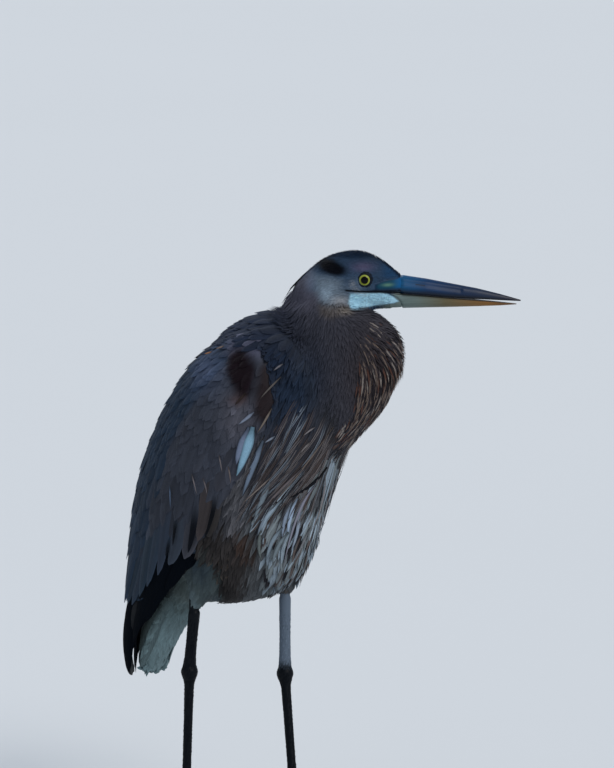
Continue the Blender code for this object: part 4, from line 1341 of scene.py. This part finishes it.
# Under the tail: smooth pale feathers from the flank back, and three broad rounded ones on each
# side that finish the tail. None roots on the tail's lower front corner, which they round off.
UNDER_GAP = 0.0072
UNDER_LENGTH = 0.034
UNDER_WIDTH = 0.0125
rng = np.random.default_rng(16)
tail_faces = face_kinds == "tail"
under_faces = soft_faces & ~back
under_ground = ground_within(under_faces)
corner = tail_faces & (face_middles[:, 0] > -0.188) & (face_middles[:, 2] < 0.203)
spots = scatter(under_ground, ((under | tail_faces) & ~corner)[under_faces], UNDER_GAP, rng)
tail_paint = plain_paint("tail", edge=1.12, tip=1.08, shaft=0.9, vary=0.08, follow=0.3)
tail_feathers = vane_piece(
    "feathers_tail", spots, UNDER_LENGTH, UNDER_WIDTH, tail_paint, soft_vane, rng, high=0.0024,
    columns=5, wander=0.05, roll=0.05, free=0.0015, ground=under_ground,
)
TAIL_ENDS = (  # width, colour, points from root to tip as (ahead, out, up)
    (0.018, (64, 75, 76), (-0.182, 0.035, 0.262), (-0.202, 0.0345, 0.226), (-0.211, 0.0325, 0.197)),
    (0.018, (76, 90, 93), (-0.173, 0.033, 0.254), (-0.195, 0.032, 0.214), (-0.204, 0.03, 0.185)),
    (0.017, (86, 103, 107), (-0.165, 0.027, 0.246), (-0.187, 0.024, 0.208), (-0.1963, 0.0185, 0.182)),
)
tail_ends = laid_piece(
    "feathers_tail_end", TAIL_ENDS, laid_paint(TAIL_ENDS, edge=0.2, root=0.0), soft_vane, rng,
    under_ground, steps=10, low=-0.002, high=0.0016, cup=0.25, columns=7,
)

# Thighs: short brown feathers rooted in the thigh's skin, down to the bare shank. Some have
# paler rims.
THIGH_GAP = 0.0046
THIGH_WIDTH = 0.006
RIM_TONE = tone(72, 64, 58)
rng = np.random.default_rng(15)
thigh = (face_kinds == "thigh") & ~under
spots = scatter(body_ground, thigh[soft_faces], THIGH_GAP, rng)
length = np.interp(spots[:, 2], (0.275, 0.36), (0.011, 0.026))


def thigh_paint(spots, share, across, rng, grid):
    """A third of the feathers keep the coat's colour in the middle and have a paler rim."""
    base = (ground_tone(spots, "thigh") * rng.normal(1, 0.12, (len(spots), 1)))[:, None, None, :]
    chosen = (rng.random(len(spots)) < 0.3)[:, None, None, None]
    rim = ease(np.abs(across), 0.25, 1.0) * chosen * ease(share, 0.0, 0.3)
    return (base * (1 - rim) + RIM_TONE * rim) * (1 + 0.1 * share**2)


thigh_feathers = vane_piece(
    "feathers_thigh", spots, length, THIGH_WIDTH, thigh_paint, soft_vane, rng, steps=4,
    low=-0.0006, tip=3.0, cup=0.3, wander=0.2, free=0.003, ground=body_ground,
)

# Scales: small horny plates grown on the skin of the bare legs, overlapping downwards along each
# shank and tarsus and along the toes.
SCALE_GAP = 0.003
SCALE_LENGTH = 0.0048
SCALE_WIDTH = 0.0042
rng = np.random.default_rng(22)
leg_ground = ground_within(face_kinds == "leg")
heights = leg_ground.middles[:, 2]
spots = scatter(leg_ground, (heights < 0.255) & (heights > 0.002), SCALE_GAP, rng)
scale_paint = plain_paint("leg", edge=0.7, tip=1.25, shaft=1.1, vary=0.1)
scales = vane_piece(
    "scales_legs", spots, SCALE_LENGTH, SCALE_WIDTH, scale_paint, soft_vane, rng, steps=2,
    low=-0.0001, high=0.0004, tip=3.0, root=0.8, cup=0.3, wander=0.02, roll=0.03,
    ground=leg_ground,
)

# Crest: fourteen thin black plumes that end the crown's black band and hang behind the nape.
CREST_PATH = ((-0.044, 0.0225), (-0.059, 0.015), (-0.074, 0.0032), (-0.0885, -0.012),
              (-0.094, -0.021))
CREST_COUNT = 14
CREST_STEPS = 12
CREST_SPREAD = 0.0055
CREST_RISE = 0.0012
CREST_HALF = 0.0013
rng = np.random.default_rng(19)
path = np.array(CREST_PATH)
share = np.linspace(0, 1, CREST_STEPS + 1)
grid = np.empty((CREST_COUNT, CREST_STEPS + 1, 3, 3))
for k in range(CREST_COUNT):
    reach = rng.uniform(0.62, 1.0)
    run = share * reach * 4
    ahead = np.interp(run, range(5), path[:, 0])
    up = np.interp(run, range(5), path[:, 1])
    out = rng.uniform(-CREST_SPREAD, CREST_SPREAD) * (1 - 0.55 * share * reach)
    lift = rng.uniform(-CREST_RISE, CREST_RISE)
    thick = CREST_HALF * (1 - share**3) ** 0.7 + 0.0001
    for c, edge in enumerate((-1, 0, 1)):
        place = np.array(HEAD_MIDDLE) + ahead[:, None] * np.array(HEAD_AHEAD)
        place += (out + edge * thick)[:, None] * np.array(HEAD_ASIDE)
        place[:, 2] += up + lift + 0.0004 * (1 - abs(edge))
        grid[k, :, c] = place
crest_mesh = strip_mesh("crest_plumes", grid)
colour_points(crest_mesh, np.broadcast_to(BLACK, grid.shape))
set_maps(crest_mesh, grid[:, 0, 1], share, np.linspace(-1, 1, 3), HEAD_AHEAD)
crest_mesh.materials.append(soft_vane)
crest = link(bpy.data.objects.new("crest_plumes", crest_mesh))
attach(crest, "root")
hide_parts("crest")

# Eyes: a wet ball with a round black pupil, a yellow iris and a dark rim, in a ring of lid.
EYE_RADIUS = (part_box("eye_left")[1].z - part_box("eye_left")[0].z) / 2
EYE_SHIFT = HEAD_AHEAD * -0.0007 + Vector((0, 0, 0.0013))
PUPIL = 0.0042
IRIS = 0.0066
PUPIL_TONE = (0.0005, 0.0005, 0.0008)
EYE_RIM_TONE = (0.004, 0.006, 0.01)


def eye_material():
    """The colours run out from the middle of the pupil by the attribute off_axis."""
    material, tree, shader = new_material("wet_eye")
    off_axis = named_value(tree, "off_axis").outputs["Fac"]
    scaled = add_node(tree, "Math", "MULTIPLY", _0=off_axis, _1=100)
    stops = ((0, PUPIL_TONE), (PUPIL * 100, PUPIL_TONE), (PUPIL * 100 + 0.03, (0.16, 0.17, 0.015)),
             (IRIS * 100 - 0.09, (0.36, 0.41, 0.06)), (IRIS * 100 - 0.03, (0.2, 0.24, 0.06)),
             (IRIS * 100 + 0.02, EYE_RIM_TONE), (1, EYE_RIM_TONE))
    feed(shader, Base_Color=tone_ramp(tree, scaled, stops), Roughness=0.08, Specular_IOR_Level=0.12)
    return material


def mottled_material(name, dark, light, scale, rough, depth):
    """Skin or horn that varies between two tones over a fine uneven grain."""
    material, tree, shader = new_material(name)
    grain = add_node(tree, "TexNoise", Scale=scale, Detail=4, Vector=own_place(tree))
    bump = add_node(tree, "Bump", Strength=0.4, Distance=depth, Height=grain)
    feed(shader, Base_Color=tone_ramp(tree, grain, ((0.35, dark), (0.65, light))), Normal=bump,
         Roughness=rough, Specular_IOR_Level=0.15)
    return material


def smooth_piece(name, shape, material):
    """Turns a finished shape into a smooth piece of this material."""
    mesh = bpy.data.meshes.new(name)
    shape.to_mesh(mesh)
    shape.free()
    mesh.shade_smooth()
    mesh.materials.append(material)
    piece = link(bpy.data.objects.new(name, mesh))
    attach(piece, "root")
    return piece


def drawn_out(shape, edges):
    """Extrudes a ring of edges, and gives the new ring's edges and points."""
    grown = bmesh.ops.extrude_edge_only(shape, edges=edges)["geom"]
    new_edges = [g for g in grown if isinstance(g, bmesh.types.BMEdge)]
    return new_edges, [g for g in grown if isinstance(g, bmesh.types.BMVert)]


wet_eye = eye_material()
lid_skin = mottled_material("lid_skin", tone(4, 7, 12), tone(22, 30, 42), 900, 0.6, 0.0002)
LID_RINGS = (  # radius, height
    (0.0066, 0.0071), (0.0067, 0.008), (0.0073, 0.0083), (0.0082, 0.008), (0.0094, 0.0068),
    (0.0106, 0.0046),
)
for side, sign in (("left", 1), ("right", -1)):
    out = HEAD_ASIDE * sign
    turn = out.to_track_quat("Z", "Y").to_matrix().to_4x4()
    place = Matrix.Translation(EYES[side] + EYE_SHIFT) @ turn
    ball = bmesh.new()
    bmesh.ops.create_uvsphere(ball, u_segments=48, v_segments=40, radius=EYE_RADIUS)
    layer = ball.verts.layers.float.new("off_axis")
    for v in ball.verts:
        v[layer] = math.hypot(v.co.x, v.co.y) if v.co.z > 0 else EYE_RADIUS
    bmesh.ops.transform(ball, matrix=place, verts=ball.verts)
    eyeball = smooth_piece("eyeball_" + side, ball, wet_eye)
    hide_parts("eye_" + side)
    ring = bmesh.new()
    first = bmesh.ops.create_circle(ring, segments=48, radius=LID_RINGS[0][0])["verts"]
    for v in first:
        v.co.z = LID_RINGS[0][1]
    edges = list(ring.edges)
    for radius, high in LID_RINGS[1:]:
        edges, verts = drawn_out(ring, edges)
        for v in verts:
            flat = Vector((v.co.x, v.co.y, 0)).normalized() * radius
            v.co = Vector((flat.x, flat.y, high))
    bmesh.ops.transform(ring, matrix=place, verts=ring.verts)
    bmesh.ops.recalc_face_normals(ring, faces=ring.faces)
    lids = smooth_piece("lids_" + side, ring, lid_skin)

# Bill: two long halves of horn, drawn out ring by ring from the face to the tip, with a groove
# from the nostril, and painted shade in the nostril and along the edge where the halves meet.
# The lower half starts as a thin wedge above the chin's feathers.
BILL_UPPER = (  # ahead, top, bottom, half width
    (0.035, 0.003, -0.0156, 0.0095), (0.045, 0.0044, -0.0166, 0.0114),
    (0.073, 0.0002, -0.0188, 0.0104),
    (0.103, -0.0056, -0.0217, 0.0083), (0.133, -0.0113, -0.0237, 0.006),
    (0.161, -0.0183, -0.0254, 0.0037), (0.1855, -0.0253, -0.0268, 0.0009),
)
BILL_LOWER = (
    (0.03, -0.016, -0.0172, 0.016), (0.035, -0.0166, -0.0212, 0.0143),
    (0.041, -0.017, -0.029, 0.0122), (0.045, -0.0174, -0.0352, 0.011),
    (0.073, -0.0196, -0.0345, 0.0094), (0.103, -0.0225, -0.0339, 0.0076),
    (0.133, -0.0253, -0.0331, 0.0055), (0.161, -0.0279, -0.0321, 0.0034),
    (0.1805, -0.0299, -0.0308, 0.0008),
)
NOSTRIL = (0.06, 0.072)
HORN_START = 0.03
HORN_LENGTH = 0.155
BILL_RINGS = 100
BILL_ROUND = 56


def head_place(ahead, aside, up):
    return HEAD_MIDDLE + HEAD_AHEAD * ahead + HEAD_ASIDE * aside + Vector((0, 0, up))


def bill_ring(verts, rows, at, upper, layer):
    """Sets one ring of the bill: round outside, nearly flat where the halves meet."""
    rows = np.array(rows)
    top, bottom, half = (np.interp(at, rows[:, 0], rows[:, k]) for k in (1, 2, 3))
    for k, v in enumerate(verts):
        turn = 2 * math.pi * k / len(verts)
        aside = half * math.cos(turn)
        rise = math.sin(turn)
        v[layer] = max(0.0, rise)
        # The nostril slit is painted dark, as shade in its opening.
        if upper and NOSTRIL[0] < at < NOSTRIL[1] and abs(rise - 0.53) < 0.05:
            v[layer] = 0.0
        if rise > 0:
            rise = (top - bottom) * rise**0.8
            groove = math.exp(-((math.sin(turn) - 0.55) / 0.16) ** 2) * 0.0009 * (at < 0.115)
            aside -= math.copysign(groove if upper else 0, aside)
        else:
            rise = -(top - bottom) * 0.1 * rise
        v.co = head_place(at, aside, bottom + rise if upper else top - rise)


def bill_piece(name, rows, upper, material):
    horn = bmesh.new()
    layer = horn.verts.layers.float.new("off_edge")
    verts = bmesh.ops.create_circle(horn, segments=BILL_ROUND, radius=0.01, cap_ends=True)["verts"]
    bill_ring(verts, rows, rows[0][0], upper, layer)
    edges = list(horn.edges)
    for step in range(1, BILL_RINGS + 1):
        at = rows[0][0] + (rows[-1][0] - rows[0][0]) * step / BILL_RINGS
        edges, verts = drawn_out(horn, edges)
        bill_ring(verts, rows, at, upper, layer)
    bmesh.ops.edgeloop_fill(horn, edges=edges)
    bmesh.ops.recalc_face_normals(horn, faces=horn.faces)
    return smooth_piece(name, horn, material)


def horn_material(name, tones, edge):
    """Satin horn: its colour runs along the bill, it has fine lengthwise growth lines, and painted
    shade darkens it towards the edge where the halves meet and in the nostril."""
    material, tree, shader = new_material(name)
    facing = (0, 0, -math.atan2(HEAD_AHEAD.y, HEAD_AHEAD.x))
    turn = add_node(tree, "Mapping", Rotation=facing, Vector=own_place(tree))
    split = add_node(tree, "SeparateXYZ", _0=turn)
    start = (HEAD_MIDDLE + HEAD_AHEAD * HORN_START).dot(HEAD_AHEAD)
    run = add_node(tree, "MapRange", From_Min=start, From_Max=start + HORN_LENGTH, Value=split)
    off_edge = named_value(tree, "off_edge").outputs["Fac"]
    # Painted shade where the halves meet and in the nostril.
    shadow = add_node(tree, "MapRange", From_Max=edge, To_Min=0.15, Value=off_edge)
    shadow.interpolation_type = "SMOOTHSTEP"
    squeeze = add_node(tree, "Mapping", Scale=(40, 700, 700), Vector=turn)
    grain = add_node(tree, "TexNoise", Scale=1.0, Detail=4, Vector=squeeze)
    shade = add_node(tree, "MapRange", To_Min=0.7, To_Max=1.3, Value=grain)
    both = add_node(tree, "Math", "MULTIPLY", _0=shade, _1=shadow)
    scaled = add_node(tree, "VectorMath", "SCALE", _0=tone_ramp(tree, run, tones), Scale=both)
    bump = add_node(tree, "Bump", Strength=0.3, Distance=0.0002, Height=grain)
    feed(shader, Base_Color=scaled, Normal=bump, Roughness=0.35, Specular_IOR_Level=0.3)
    return material


UPPER_TONES = (
    (0, tone(0, 62, 90)), (0.14, tone(0, 60, 94)), (0.28, tone(2, 42, 74)),
    (0.5, tone(10, 34, 60)), (0.75, tone(28, 37, 54)), (1, tone(24, 24, 34)),
)
LOWER_TONES = (
    (0, tone(88, 104, 104)), (0.2, tone(84, 96, 92)), (0.42, tone(82, 76, 56)),
    (0.75, tone(104, 72, 34)), (1, tone(70, 50, 34)),
)
upper_horn = horn_material("upper_horn", UPPER_TONES, 0.35)
bill_top = bill_piece("bill_top", BILL_UPPER, True, upper_horn)
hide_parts("bill_upper")
lower_horn = horn_material("lower_horn", LOWER_TONES, 0.15)
bill_bottom = bill_piece("bill_bottom", BILL_LOWER, False, lower_horn)
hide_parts("bill_lower")

# Claws: short curved dark horn that grows from the end of every toe. Each keeps the shape that
# the CAD gave it and gets its horn here.
claw_horn = mottled_material("claw_horn", tone(14, 13, 14), tone(40, 36, 34), 500, 0.35, 0.0002)
for name, obj in nodes.items():
    if name.startswith("claw"):
        obj.data.materials.clear()
        obj.data.materials.append(claw_horn)
